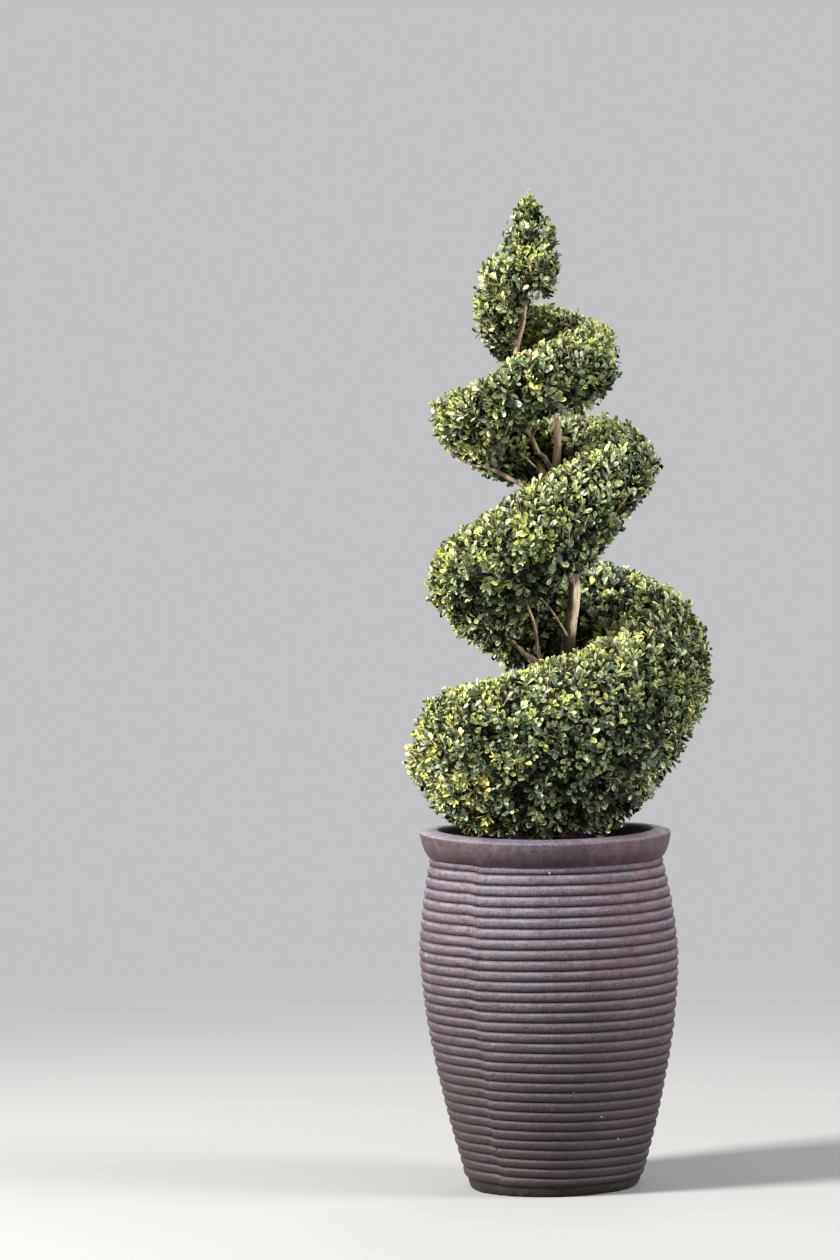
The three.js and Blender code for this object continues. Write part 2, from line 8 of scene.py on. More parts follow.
import logging
import math
from collections.abc import Callable
from dataclasses import dataclass, field, fields
from enum import Enum
from typing import Any

import bpy
import numpy as np
from mathutils import Matrix, Vector

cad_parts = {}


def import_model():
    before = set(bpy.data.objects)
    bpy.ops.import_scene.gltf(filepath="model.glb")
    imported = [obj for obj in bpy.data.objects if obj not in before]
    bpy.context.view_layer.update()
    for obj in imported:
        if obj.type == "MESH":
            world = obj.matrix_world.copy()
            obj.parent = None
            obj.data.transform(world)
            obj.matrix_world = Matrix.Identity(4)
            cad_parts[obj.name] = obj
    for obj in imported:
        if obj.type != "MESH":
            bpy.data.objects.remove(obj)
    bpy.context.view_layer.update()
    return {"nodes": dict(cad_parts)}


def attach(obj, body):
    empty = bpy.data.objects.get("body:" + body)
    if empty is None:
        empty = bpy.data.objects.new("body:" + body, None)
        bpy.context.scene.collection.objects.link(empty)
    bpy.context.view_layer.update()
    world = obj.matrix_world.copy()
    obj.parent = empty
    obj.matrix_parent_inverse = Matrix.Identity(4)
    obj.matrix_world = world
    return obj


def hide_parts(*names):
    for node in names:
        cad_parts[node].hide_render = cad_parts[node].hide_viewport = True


Array = np.ndarray
Colour = tuple[float, float, float]
Point = tuple[float, float, float]
Span = tuple[float, float]
Surface = Callable[[Array, Array, Array], Array]

MM = 0.001
TAU = 2.0 * math.pi
SIDES = ("right", "front", "left", "back")
TURNS = 4
UP = np.array([0.0, 0.0, 1.0])

report = logging.getLogger("boxwood")


# Small maths


@dataclass(frozen=True)
class SmoothRows:
    """Sizes in rows at places along something, with smooth values between the rows."""

    rows: tuple[tuple[float, ...], ...]

    def at(self, where: Array | float) -> Array:
        """Works out the sizes at some places.

        Args:
            where: Places along the rows' first column.

        Returns:
            The other columns, one row for each place.
        """
        table = np.array(self.rows, dtype=float)
        places, values = table[:, 0], table[:, 1:]
        place = np.clip(np.atleast_1d(where).astype(float), places[0], places[-1])
        left = np.clip(np.searchsorted(places, place, side="right") - 1, 0, len(places) - 2)
        right = left + 1
        before = np.where(left > 0, left - 1, right)
        after = np.where(right < len(places) - 1, right + 1, left)
        half = (places[right] - places[left]) / 2
        near = half / (places[left] - places[before])
        far = half / (places[after] - places[right])
        share = (place - places[left]) / (2 * half)
        square, cube = share**2, share**3
        weights = (
            (before, -near * (cube - 2 * square + share)),
            (left, (1 + near) * cube - (1.5 + 2 * near) * square + (near - 0.5) * share + 1),
            (right, -(1 + far) * cube + (1.5 + far) * square + 0.5 * share),
            (after, far * (cube - square)),
        )
        return sum(weight[:, None] * values[index] for index, weight in weights)


@dataclass(frozen=True)
class Waves:
    """Smooth random waves through space, mostly between -1 and 1."""

    seed: int
    size: float
    count: int = 9

    def at(self, points: Array) -> Array:
        """Works out the waves' height.

        Args:
            points: Places, one to a row.

        Returns:
            One height for each place.
        """
        random = np.random.default_rng(self.seed)
        ways = random.normal(size=(self.count, 3))
        ways /= np.linalg.norm(ways, axis=1)[:, None]
        sizes = self.size * random.uniform(0.6, 1.6, self.count)
        phases = random.uniform(0.0, TAU, self.count)
        heights = np.sin(points @ (ways * TAU / sizes[:, None]).T + phases)
        return heights.sum(axis=1) / math.sqrt(2.0 * self.count)


def ramp(values: Array, low: float, high: float) -> Array:
    """Returns a straight ramp over values, 0 at low and 1 at high."""
    return np.clip((values - low) / (high - low), 0.0, 1.0)


def smooth_step(values: Array, low: float, high: float) -> Array:
    """Returns a smooth step over values, 0 at low and 1 at high."""
    share = ramp(values, low, high)
    return share * share * (3.0 - 2.0 * share)


def distances(points: Array, others: Array) -> Array:
    """Returns the distance from each point to each of the others."""
    squares = (points**2).sum(axis=1)[:, None] + (others**2).sum(axis=1)[None] - 2 * points @ others.T
    return np.sqrt(np.maximum(squares, 0.0))


def unit(vectors: Array) -> Array:
    """Returns vectors with their lengths made 1."""
    return vectors / np.maximum(np.linalg.norm(vectors, axis=-1, keepdims=True), 1e-9)


def square_to(vectors: Array) -> Array:
    """Returns a unit vector square to each unit vector."""
    helper = np.where(np.abs(vectors[..., 2:3]) > 0.85, [[1.0, 0.0, 0.0]], [[0.0, 0.0, 1.0]])
    return unit(np.cross(helper, vectors))


def bezier(start: Array, bend: Array, end: Array, steps: int) -> Array:
    """Returns points along a curve from start to end that is pulled towards bend."""
    share = np.linspace(0.0, 1.0, steps + 1)[:, None]
    return start * (1 - share) ** 2 + bend * 2 * share * (1 - share) + end * share**2


# Meshes


def wrapped_grid(rows: int, columns: int) -> Array:
    """Joins rows of corners that each go round something.

    Args:
        rows: How many rows of corners there are, from the lowest.
        columns: How many corners are in each row, anticlockwise from above.

    Returns:
        Triangles that face outward.
    """
    row, column = np.meshgrid(np.arange(rows - 1), np.arange(columns), indexing="ij")
    here = row * columns + column
    beside = row * columns + (column + 1) % columns
    quads = np.stack([here, beside, beside + columns, here + columns], axis=-1).reshape(-1, 4)
    return np.concatenate([quads[:, [0, 1, 2]], quads[:, [0, 2, 3]]])


@dataclass
class Shape:
    """Triangles gathered for one piece, with their corners and the numbers of their finishes."""

    corners: list[Array] = field(default_factory=list)
    triangles: list[Array] = field(default_factory=list)
    finishes: list[Array] = field(default_factory=list)
    corner_count: int = 0

    def add(self, corners: Array, triangles: Array, finish: Array | int = 0) -> None:
        """Adds triangles.

        Args:
            corners: Corners in millimetres, one to a row.
            triangles: Corner numbers, three to a row.
            finish: The number of a finish, or one for each triangle.
        """
        self.corners.append(corners)
        self.triangles.append(triangles + self.corner_count)
        self.finishes.append(np.broadcast_to(np.asarray(finish), (len(triangles),)))
        self.corner_count += len(corners)

    def add_tube(self, path: Array, radii: Array, sides: int, relief: Waves | None = None) -> None:
        """Adds a closed tube.

        Args:
            path: Points along its centre line.
            radii: Its radius at each point.
            sides: How many corners go round it.
            relief: Waves that swell and pinch it by up to a tenth.
        """
        along = unit(np.gradient(path, axis=0))
        across = square_to(along[:1])[0]
        angles = np.arange(sides) * TAU / sides
        rings = []
        for point, way, radius in zip(path, along, radii):
            across = unit(across - way * np.dot(across, way))
            third = np.cross(way, across)
            spokes = np.outer(np.cos(angles), across) + np.outer(np.sin(angles), third)
            swell = 1.0 + 0.1 * relief.at(point + spokes * radius) if relief else np.ones(sides)
            rings.append(point + spokes * (radius * swell)[:, None])
        rows = len(path)
        corners = np.concatenate([*rings, path[:1], path[-1:]])
        beside = (np.arange(sides) + 1) % sides
        first = np.stack([beside, np.arange(sides), np.full(sides, rows * sides)], axis=1)
        last = np.stack([np.arange(sides), beside, np.full(sides, sides + 1)], axis=1)
        caps = [first, last + (rows - 1) * sides]
        self.add(corners, np.concatenate([wrapped_grid(rows, sides), *caps]))

    def add_sticks(self, starts: Array, ends: Array, radii: tuple[float, float]) -> None:
        """Adds many straight three-sided twigs.

        Args:
            starts: Where they start.
            ends: Where they end.
            radii: Their radius at the start and at the end.
        """
        along = unit(ends - starts)
        across = square_to(along)
        third = np.cross(along, across)
        rings = []
        for middle, radius in ((starts, radii[0]), (ends, radii[1])):
            for side in range(3):
                angle = TAU * side / 3
                rings.append(middle + radius * (across * math.cos(angle) + third * math.sin(angle)))
        corners = np.stack(rings, axis=1)
        self.add(*repeated(corners, wrapped_grid(2, 3)))

    def piece(self, name: str, materials: list[bpy.types.Material]) -> bpy.types.Object:
        """Makes the mesh and its object.

        Args:
            name: The piece's name.
            materials: Its finishes, in the order of their numbers.

        Returns:
            The object, smooth-shaded, riding on the root body.
        """
        corners = np.concatenate(self.corners) * MM
        triangles = np.concatenate(self.triangles)
        mesh = bpy.data.meshes.new(name)
        mesh.vertices.add(len(corners))
        mesh.vertices.foreach_set("co", corners.astype(np.float32).ravel())
        mesh.loops.add(3 * len(triangles))
        mesh.loops.foreach_set("vertex_index", triangles.astype(np.int32).ravel())
        mesh.polygons.add(len(triangles))
        mesh.polygons.foreach_set("loop_start", np.arange(0, 3 * len(triangles), 3, dtype=np.int32))
        for material in materials:
            mesh.materials.append(material)
        mesh.polygons.foreach_set("material_index", np.concatenate(self.finishes).astype(np.int32))
        mesh.update(calc_edges=True)
        mesh.shade_smooth()
        piece = bpy.data.objects.new(name, mesh)
        bpy.context.scene.collection.objects.link(piece)
        report.info("%s: %d triangles", name, len(triangles))
        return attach(piece, "root")


def repeated(corners: Array, triangles: Array) -> tuple[Array, Array]:
    """Joins copies of one shape.

    Args:
        corners: The corners of each copy, as copy, corner and coordinate.
        triangles: The triangles of the first copy.

    Returns:
        All corners, and the triangles of all copies.
    """
    copies, count, _ = corners.shape
    steps = np.arange(copies)[:, None, None] * count
    return corners.reshape(-1, 3), (triangles[None] + steps).reshape(-1, 3)


# Materials


class Value:
    """A socket in a material, on which Python's operators add Math nodes."""

    def __init__(self, book: "MaterialBook", socket: bpy.types.NodeSocket) -> None:
        """Keeps the book and the socket."""
        self.book = book
        self.socket = socket

    def __add__(self, other: "Value | float") -> "Value":
        """Returns self + other."""
        return self.book.maths("ADD", self, other)

    def __radd__(self, other: float) -> "Value":
        """Returns other + self."""
        return self.book.maths("ADD", other, self)

    def __sub__(self, other: "Value | float") -> "Value":
        """Returns self - other."""
        return self.book.maths("SUBTRACT", self, other)

    def __rsub__(self, other: float) -> "Value":
        """Returns other - self."""
        return self.book.maths("SUBTRACT", other, self)

    def __mul__(self, other: "Value | float") -> "Value":
        """Returns self * other."""
        return self.book.maths("MULTIPLY", self, other)

    def __rmul__(self, other: float) -> "Value":
        """Returns other * self."""
        return self.book.maths("MULTIPLY", other, self)

    def __truediv__(self, other: "Value | float") -> "Value":
        """Returns self / other."""
        return self.book.maths("DIVIDE", self, other)

    def __rtruediv__(self, other: float) -> "Value":
        """Returns other / self."""
        return self.book.maths("DIVIDE", other, self)

    def __abs__(self) -> "Value":
        """Returns the value without its sign."""
        return self.book.maths("ABSOLUTE", self)

    def fraction(self) -> "Value":
        """Returns what is left over whole numbers."""
        return self.book.maths("FRACT", self)

    def between(self, low: float, high: float) -> "Value":
        """Returns a smooth step, 0 at low and 1 at high."""
        sockets = {"Value": self, "From Min": low, "From Max": high}
        return self.book.value("ShaderNodeMapRange", {"interpolation_type": "SMOOTHSTEP"}, sockets)

    def over(self, span: Span) -> "Value":
        """Returns a smooth step as this value, in metres, crosses a span in millimetres."""
        return self.between(span[0] * MM, span[1] * MM)


class MaterialBook:
    """A node material that is written as Python expressions."""

    def __init__(self, name: str) -> None:
        """Starts a material that knows only the place on the object, in metres.

        Args:
            name: Its name.
        """
        self.material = bpy.data.materials.new(name)
        self.material.use_nodes = True
        self.tree = self.material.node_tree
        self.tree.nodes.clear()
        self.place = self.value("ShaderNodeTexCoord", output="Object")

    def node(
        self,
        kind: str,
        settings: dict[str, Any] | None = None,
        sockets: dict[str | int, Any] | None = None,
    ) -> bpy.types.Node:
        """Adds a node.

        Args:
            kind: Its type.
            settings: Its settings.
            sockets: Values or links of its inputs, by name or number.

        Returns:
            The node.
        """
        node = self.tree.nodes.new(kind)
        for name, setting in (settings or {}).items():
            setattr(node, name, setting)
        for name, value in (sockets or {}).items():
            if isinstance(value, Value):
                self.tree.links.new(value.socket, node.inputs[name])
            else:
                node.inputs[name].default_value = value
        return node

    def value(
        self,
        kind: str,
        settings: dict[str, Any] | None = None,
        sockets: dict[str | int, Any] | None = None,
        output: int | str = 0,
    ) -> Value:
        """Adds a node and returns one of its outputs."""
        return Value(self, self.node(kind, settings, sockets).outputs[output])

    def maths(self, operation: str, first: Value | float, second: Value | float = 0.0) -> Value:
        """Returns the result of a Math node."""
        return self.value("ShaderNodeMath", {"operation": operation}, {0: first, 1: second})

    def coordinates(self) -> tuple[Value, ...]:
        """Returns the three parts of the place."""
        node = self.node("ShaderNodeSeparateXYZ", None, {0: self.place})
        return tuple(Value(self, output) for output in node.outputs)

    def noise(self, scale: float, detail: float = 3.0, place: Value | None = None) -> Value:
        """Returns noise from 0 to 1 with features of about 1 / scale metres."""
        sockets = {"Vector": place or self.place, "Scale": scale, "Detail": detail, "Roughness": 0.6}
        return self.value("ShaderNodeTexNoise", None, sockets)

    def streaks(self, across: float, up: float, detail: float = 4.0) -> Value:
        """Makes noise that is drawn out.

        Args:
            across: Its features are 1 / across metres wide.
            up: They are 1 / up metres high.
            detail: How fine the noise goes on to be.

        Returns:
            The noise, from 0 to 1.
        """
        sockets = {0: self.place, 1: (across, across, up)}
        drawn = self.value("ShaderNodeVectorMath", {"operation": "MULTIPLY"}, sockets)
        return self.noise(1.0, detail, drawn)

    def spots(self, scale: float) -> Value:
        """Returns the distance to scattered points, in cells of about 1 / scale metres."""
        return self.value("ShaderNodeTexVoronoi", None, {"Vector": self.place, "Scale": scale})

    def mixed(self, share: Value, first: Value | Colour, second: Colour) -> Value:
        """Mixes two colours.

        Args:
            share: How much of the second there is, from 0 to 1.
            first: The first colour.
            second: The second colour.

        Returns:
            The mixed colour.
        """
        first = first if isinstance(first, Value) else (*first, 1.0)
        sockets = {0: share, 6: first, 7: (*second, 1.0)}
        return self.value("ShaderNodeMix", {"data_type": "RGBA"}, sockets, 2)

    def finish(
        self,
        colour: Value,
        roughness: Value,
        height: Value,
        relief: float,
        fixed: dict[str, float] | None = None,
    ) -> bpy.types.Material:
        """Joins the shader up.

        Args:
            colour: The base colour.
            roughness: The roughness.
            height: The height of fine relief, from 0 to 1.
            relief: What a height of 1 stands for, in metres.
            fixed: Values on the shader's own sockets.

        Returns:
            The material.
        """
        normal = self.value("ShaderNodeBump", None, {"Distance": relief, "Height": height})
        sockets = {"Base Color": colour, "Roughness": roughness, "Normal": normal, **(fixed or {})}
        shader = self.value("ShaderNodeBsdfPrincipled", None, sockets)
        self.node("ShaderNodeOutputMaterial", None, {"Surface": shader})
        return self.material


class JarSurface:
    """Where a point of the jar lies on its coils, and the masks that its finish shares."""

    def __init__(self, book: MaterialBook, jar: "Jar") -> None:
        """Works them out as sockets.

        Args:
            book: The jar's material.
            jar: The jar, for where its seam, its ribs and its lip are.
        """
        x, y, z = self.x, self.y, self.z = book.coordinates()
        self.turned = ((book.maths("ARCTAN2", y, x) - jar.seam_angle) / TAU + 0.5).fraction() - 0.5
        step = self.turned - book.maths("TANH", self.turned / jar.seam_width) * 0.5
        tilt = z.over(jar.foot_span) * jar.foot_tilt
        tilt = tilt + z.over(jar.belly_span) * (jar.belly_tilt - jar.foot_tilt)
        tilt = tilt + z.over(jar.lip_span) * (jar.lip_tilt - jar.belly_tilt)
        self.level = z + x * tilt
        sag = jar.sag * MM * ((x * x - y * y) / (x * x + y * y))
        self.rim = self.level - sag * z.over(jar.sag_span)
        height = self.level - step * (jar.seam_step * MM)
        count = height * jar.coils[3] + jar.coils[2]
        self.rise = ((count * height + jar.coils[1]) * height + jar.coils[0]).fraction()
        self.lip = self.level.over((jar.lip_bottom - 1.0, jar.lip_bottom + 1.0))
        self.ribbed = self.level.over((jar.ribs_start, jar.ribs_start + 4.0)) * (1.0 - self.lip)

        self.broad = book.noise(7.0, 4.0)
        self.patches = book.noise(26.0, 6.0)
        self.blotches = book.noise(120.0, 4.0)
        self.grain = book.noise(480.0)
        # Darker towards the bottom: partly soiling, partly painted shade where less light reaches the
        # lower wall.
        self.low = 1.0 - (z + (self.broad - 0.5) * 0.14).between(0.06, 0.68)
        # The grooves darken: partly grime in them, partly painted shade in the recess.
        from_crest = abs(2.0 * self.rise - 1.0)
        self.groove_dirt_and_shade = (from_crest + (self.blotches - 0.5) * 0.10).between(0.80, 0.93) * self.ribbed
        # Darker at the foot: partly grime and moss, partly painted shade.
        self.foot = 1.0 - (z + (self.blotches - 0.5) * 0.016).between(0.015, 0.029)


@dataclass(frozen=True)
class ClayFinish:
    """Unglazed fired clay, mottled and weathered, with grime and painted shade in its grooves and at its
    foot, and painted light and shade on its ribs and its lip.
    """

    rosy: Colour = (0.112, 0.063, 0.072)
    lilac: Colour = (0.098, 0.083, 0.120)
    warm: Colour = (0.140, 0.072, 0.070)
    pale: Colour = (0.240, 0.190, 0.226)
    grey_blue: Colour = (0.072, 0.078, 0.116)
    slate: Colour = (0.038, 0.040, 0.060)
    brown: Colour = (0.0195, 0.0102, 0.0100)
    groove: Colour = (0.009, 0.006, 0.006)
    foot: Colour = (0.011, 0.0055, 0.003)
    moss: Colour = (0.022, 0.026, 0.007)
    fleck: Colour = (0.60, 0.60, 0.60)
    # The rim's top edge: worn, and lit as a painted highlight that is brightest on the left.
    worn_and_lit_edge: Colour = (0.205, 0.210, 0.250)
    worn_and_lit_pink: Colour = (0.330, 0.270, 0.280)
    relief: float = 0.0022
    shine: float = 0.40

    def coats(self, book: MaterialBook, at: JarSurface) -> list[tuple[Value, Colour]]:
        """Lists the coats of colour over the first one.

        Args:
            book: The jar's material.
            at: Where a point lies on the jar.

        Returns:
            How thick each coat is, from 0 to 1, and its colour.
        """
        front = (1.0 - 5.5 * abs(at.x + 0.045)) * (1.0 - at.y.between(-0.05, 0.05))
        bluish = at.broad.between(0.36, 0.64) * 0.35 + front.between(0.05, 0.95) * 0.65
        # Painted shade on the lower part of each rib.
        under = (1.0 - at.rise.between(0.08, 0.66)) * (0.7 + at.blotches.between(0.30, 0.60) * 0.3)
        # Painted highlight along the upper part of each rib, in patches.
        upper = (1.0 - 5.0 * abs(at.rise - 0.77)).between(0.0, 1.0) * at.patches.between(0.34, 0.6)

        lip_face = at.lip * (1.0 - at.rim.between(0.601, 0.604))
        runs = book.streaks(70.0, 34.0, 5.0)
        # The lip's face: stained in runs, and darker at its lower part as painted shade under the lip's
        # roll.
        lip_painted_shade = 1.0 - (at.level + (runs - 0.5) * 0.020).between(0.568, 0.590)
        lip_stain_and_shade = 0.44 + runs.between(0.36, 0.60) * 0.26 + lip_painted_shade * 0.28
        rubbed = book.noise(70.0, 5.0)
        # lit_side and edge paint a highlight along the rim's top edge, bright on the left and dim at the
        # front, over its wear.
        lit_side = 0.11 + (1.0 - at.x.between(-0.19, -0.08)) * 0.65 + at.x.between(0.06, 0.19) * 0.34
        edge = at.rim.between(0.6030, 0.6042) * (0.55 + rubbed.between(0.36, 0.60) * 0.40) * lit_side
        pinkish = (rubbed - 1.4 * (at.turned + 0.12)).between(0.42, 0.62)

        mossy = book.noise(60.0, 5.0).between(0.52, 0.62) * (1.0 - at.z.between(0.006, 0.034))
        scuffs = book.streaks(36.0, 330.0, 3.0).between(0.70, 0.76) * book.noise(10.0).between(0.53, 0.60)
        specks = 1.0 - book.spots(30.0).between(0.034, 0.060)
        specks = specks * book.noise(8.0).between(0.51, 0.55)
        return [
            (bluish, self.lilac),
            (at.x.between(0.03, 0.19) * 0.62, self.warm),
            (at.patches.between(0.48, 0.58) * 0.80, self.grey_blue),
            (book.streaks(34.0, 4.0).between(0.52, 0.64) * 0.65, self.slate),
            (book.streaks(22.0, 210.0).between(0.50, 0.70) * 0.50, self.pale),
            (at.blotches.between(0.50, 0.64) * 0.45, self.brown),
            # darker towards the bottom: partly soiling, partly painted shade
            (at.low * 0.96, self.brown),
            (at.grain.between(0.53, 0.64) * (0.55 - at.low * 0.39), self.pale),
            ((1.0 - at.grain.between(0.38, 0.47)) * 0.65, self.groove),
            # painted shade on the lower part of each rib
            (under * at.ribbed * 0.74, self.brown),
            # painted highlight on the upper part of each rib
            (upper * at.ribbed * (1.0 - at.low * 0.88) * 0.55, self.pale),
            # grooves: grime and painted shade
            (at.groove_dirt_and_shade * 0.88, self.groove),
            (lip_face * 0.26, self.warm),
            # lip face: stains, and painted shade low on it
            (lip_face * lip_stain_and_shade, self.brown),
            # rim edge: wear, and a painted highlight
            (edge * 0.85, self.worn_and_lit_edge),
            (edge * pinkish * 0.70, self.worn_and_lit_pink),
            # foot: grime, and painted shade
            (at.foot * 0.88, self.foot),
            (mossy * 0.70, self.moss),
            (book.maths("MAXIMUM", specks, scuffs) * at.ribbed * 0.75, self.fleck),
        ]

    def material(self, jar: "Jar") -> bpy.types.Material:
        """Makes the material.

        Args:
            jar: The jar, for where its seam, its ribs and its lip are.

        Returns:
            The material.
        """
        book = MaterialBook("fired_clay")
        at = JarSurface(book, jar)
        colour = self.rosy
        for share, coat in self.coats(book, at):
            colour = book.mixed(share, colour, coat)
        roughness = 0.58 + at.groove_dirt_and_shade * 0.28 + (at.patches - 0.5) * 0.30 + at.foot * 0.34
        height = at.grain * 0.40 + at.blotches * 0.60
        return book.finish(colour, roughness, height, self.relief, {"Specular IOR Level": self.shine})


@dataclass(frozen=True)
class BarkFinish:
    """Boxwood bark: grey-brown and flaky, with a bare tan strip where it has peeled.

    The strip lies between two heights and the bark is warmer from a height up, all in metres.
    """

    name: str
    pale: Colour
    middle: Colour
    dark: Colour
    tan: Colour = (0.82, 0.66, 0.45)
    peeled: Span | None = None
    lean: float = 0.123
    strip_from: float = 0.0525
    warm: Colour = (0.50, 0.345, 0.225)
    warm_from: float | None = None
    relief: float = 0.003

    def material(self) -> bpy.types.Material:
        """Makes the material.

        Returns:
            The material.
        """
        book = MaterialBook(self.name)
        x, y, z = book.coordinates()
        fibres = book.streaks(240.0, 22.0, 5.0)
        patches = book.streaks(60.0, 16.0, 3.0)
        cracks = book.streaks(520.0, 60.0)
        colour = book.mixed(fibres.between(0.35, 0.70), self.dark, self.middle)
        colour = book.mixed(patches.between(0.50, 0.66) * 0.85, colour, self.pale)
        if self.peeled:
            low, high = self.peeled
            inside = z.between(low, low + 0.02) * (1.0 - z.between(high - 0.02, high))
            ragged = (patches - 0.5) * 0.012 + (fibres - 0.5) * 0.008
            edge = x - (z - low) * self.lean - y * 0.35 + ragged
            strip = edge.between(self.strip_from, self.strip_from + 0.002) * inside
            colour = book.mixed(strip * (0.45 + fibres * 0.75), colour, self.tan)
        if self.warm_from:
            high = z.between(self.warm_from, self.warm_from + 0.14)
            colour = book.mixed(high * (0.35 + fibres * 0.8), colour, self.warm)
        colour = book.mixed((1.0 - cracks.between(0.36, 0.50)) * 0.6, colour, self.dark)
        height = fibres * 0.5 + cracks * 0.5
        return book.finish(colour, 0.72 + (fibres - 0.5) * 0.3, height, self.relief)


TRUNK_BARK = BarkFinish("trunk_bark", (0.200, 0.160, 0.090), (0.095, 0.080, 0.040),
                        (0.026, 0.023, 0.013), peeled=(0.932, 1.035), warm_from=1.09)
BOUGH_BARK = BarkFinish("bough_bark", (0.64, 0.46, 0.29), (0.28, 0.185, 0.11), (0.07, 0.047, 0.028))
TWIG_BARK = BarkFinish("twig_bark", (0.56, 0.37, 0.22), (0.38, 0.22, 0.13), (0.17, 0.10, 0.06))


@dataclass(frozen=True)
class SoilFinish:
    """Dark potting soil with fibres and crumbs in it."""

    dark: Colour = (0.012, 0.009, 0.006)
    brown: Colour = (0.060, 0.038, 0.022)
    relief: float = 0.004

    def material(self) -> bpy.types.Material:
        """Makes the material.

        Returns:
            The material.
        """
        book = MaterialBook("potting_soil")
        crumbs = book.noise(190.0, 5.0)
        damp = book.noise(22.0)
        colour = book.mixed(crumbs.between(0.42, 0.70), self.dark, self.brown)
        return book.finish(colour, 0.95 - damp * 0.25, crumbs, self.relief)


class LeafTint(Enum):
    """The plain colours of leaves; the darkest is painted shade for leaves deep inside, and the pale
    bluish one a painted reflection of the sky on their wax.
    """

    # painted shade for leaves deep inside
    SHADE = (0.008, 0.013, 0.006)
    DEEP = (0.038, 0.062, 0.028)
    BLUE = (0.144, 0.200, 0.118)
    MID = (0.196, 0.248, 0.066)
    # a pale bluish green: a painted reflection of the sky on the leaves' wax
    PALE = (0.276, 0.336, 0.188)
    FRESH = (0.322, 0.370, 0.080)
    YELLOW = (0.550, 0.555, 0.124)
    BRONZE = (0.330, 0.228, 0.078)


@dataclass(frozen=True)
class LeafFinish:
    """A leathery leaf of one colour, a little uneven, with a waxy skin."""

    tint: LeafTint
    roughness: float = 0.42
    darkest: float = 0.50
    palest: float = 1.42
    relief: float = 0.0005

    def material(self) -> bpy.types.Material:
        """Makes the material; the paler the tint, the shinier the leaf.

        Returns:
            The material.
        """
        book = MaterialBook(f"leaf_{self.tint.name.lower()}")
        uneven = book.noise(150.0, 2.0)
        fine = book.noise(700.0, 2.0)
        darker = tuple(part * self.darkest for part in self.tint.value)
        paler = tuple(part * self.palest for part in self.tint.value)
        colour = book.mixed(uneven.between(0.34, 0.66), darker, paler)
        roughness = self.roughness + (fine - 0.5) * 0.22
        fixed = {"Specular IOR Level": min(0.06 + 5.0 * max(self.tint.value), 0.65)}
        return book.finish(colour, roughness, uneven, self.relief, fixed)


@dataclass(frozen=True)
class FloorFinish:
    """A plain pale floor that fades out into the pale background round it."""

    colour: Colour = (0.29, 0.29, 0.286)
    near: float = 1.2
    far: float = 3.9

    def material(self) -> bpy.types.Material:
        """Makes the material.

        Returns:
            The material.
        """
        book = MaterialBook("pale_floor")
        distance = book.value("ShaderNodeVectorMath", {"operation": "LENGTH"}, {0: book.place}, "Value")
        solid = book.value("ShaderNodeBsdfDiffuse", None, {"Color": (*self.colour, 1.0)})
        clear = book.value("ShaderNodeBsdfTransparent")
        share = distance.between(self.near, self.far)
        shader = book.value("ShaderNodeMixShader", None, {0: share, 1: solid, 2: clear})
        book.node("ShaderNodeOutputMaterial", None, {"Surface": shader})
        return book.material


# The jar and its soil


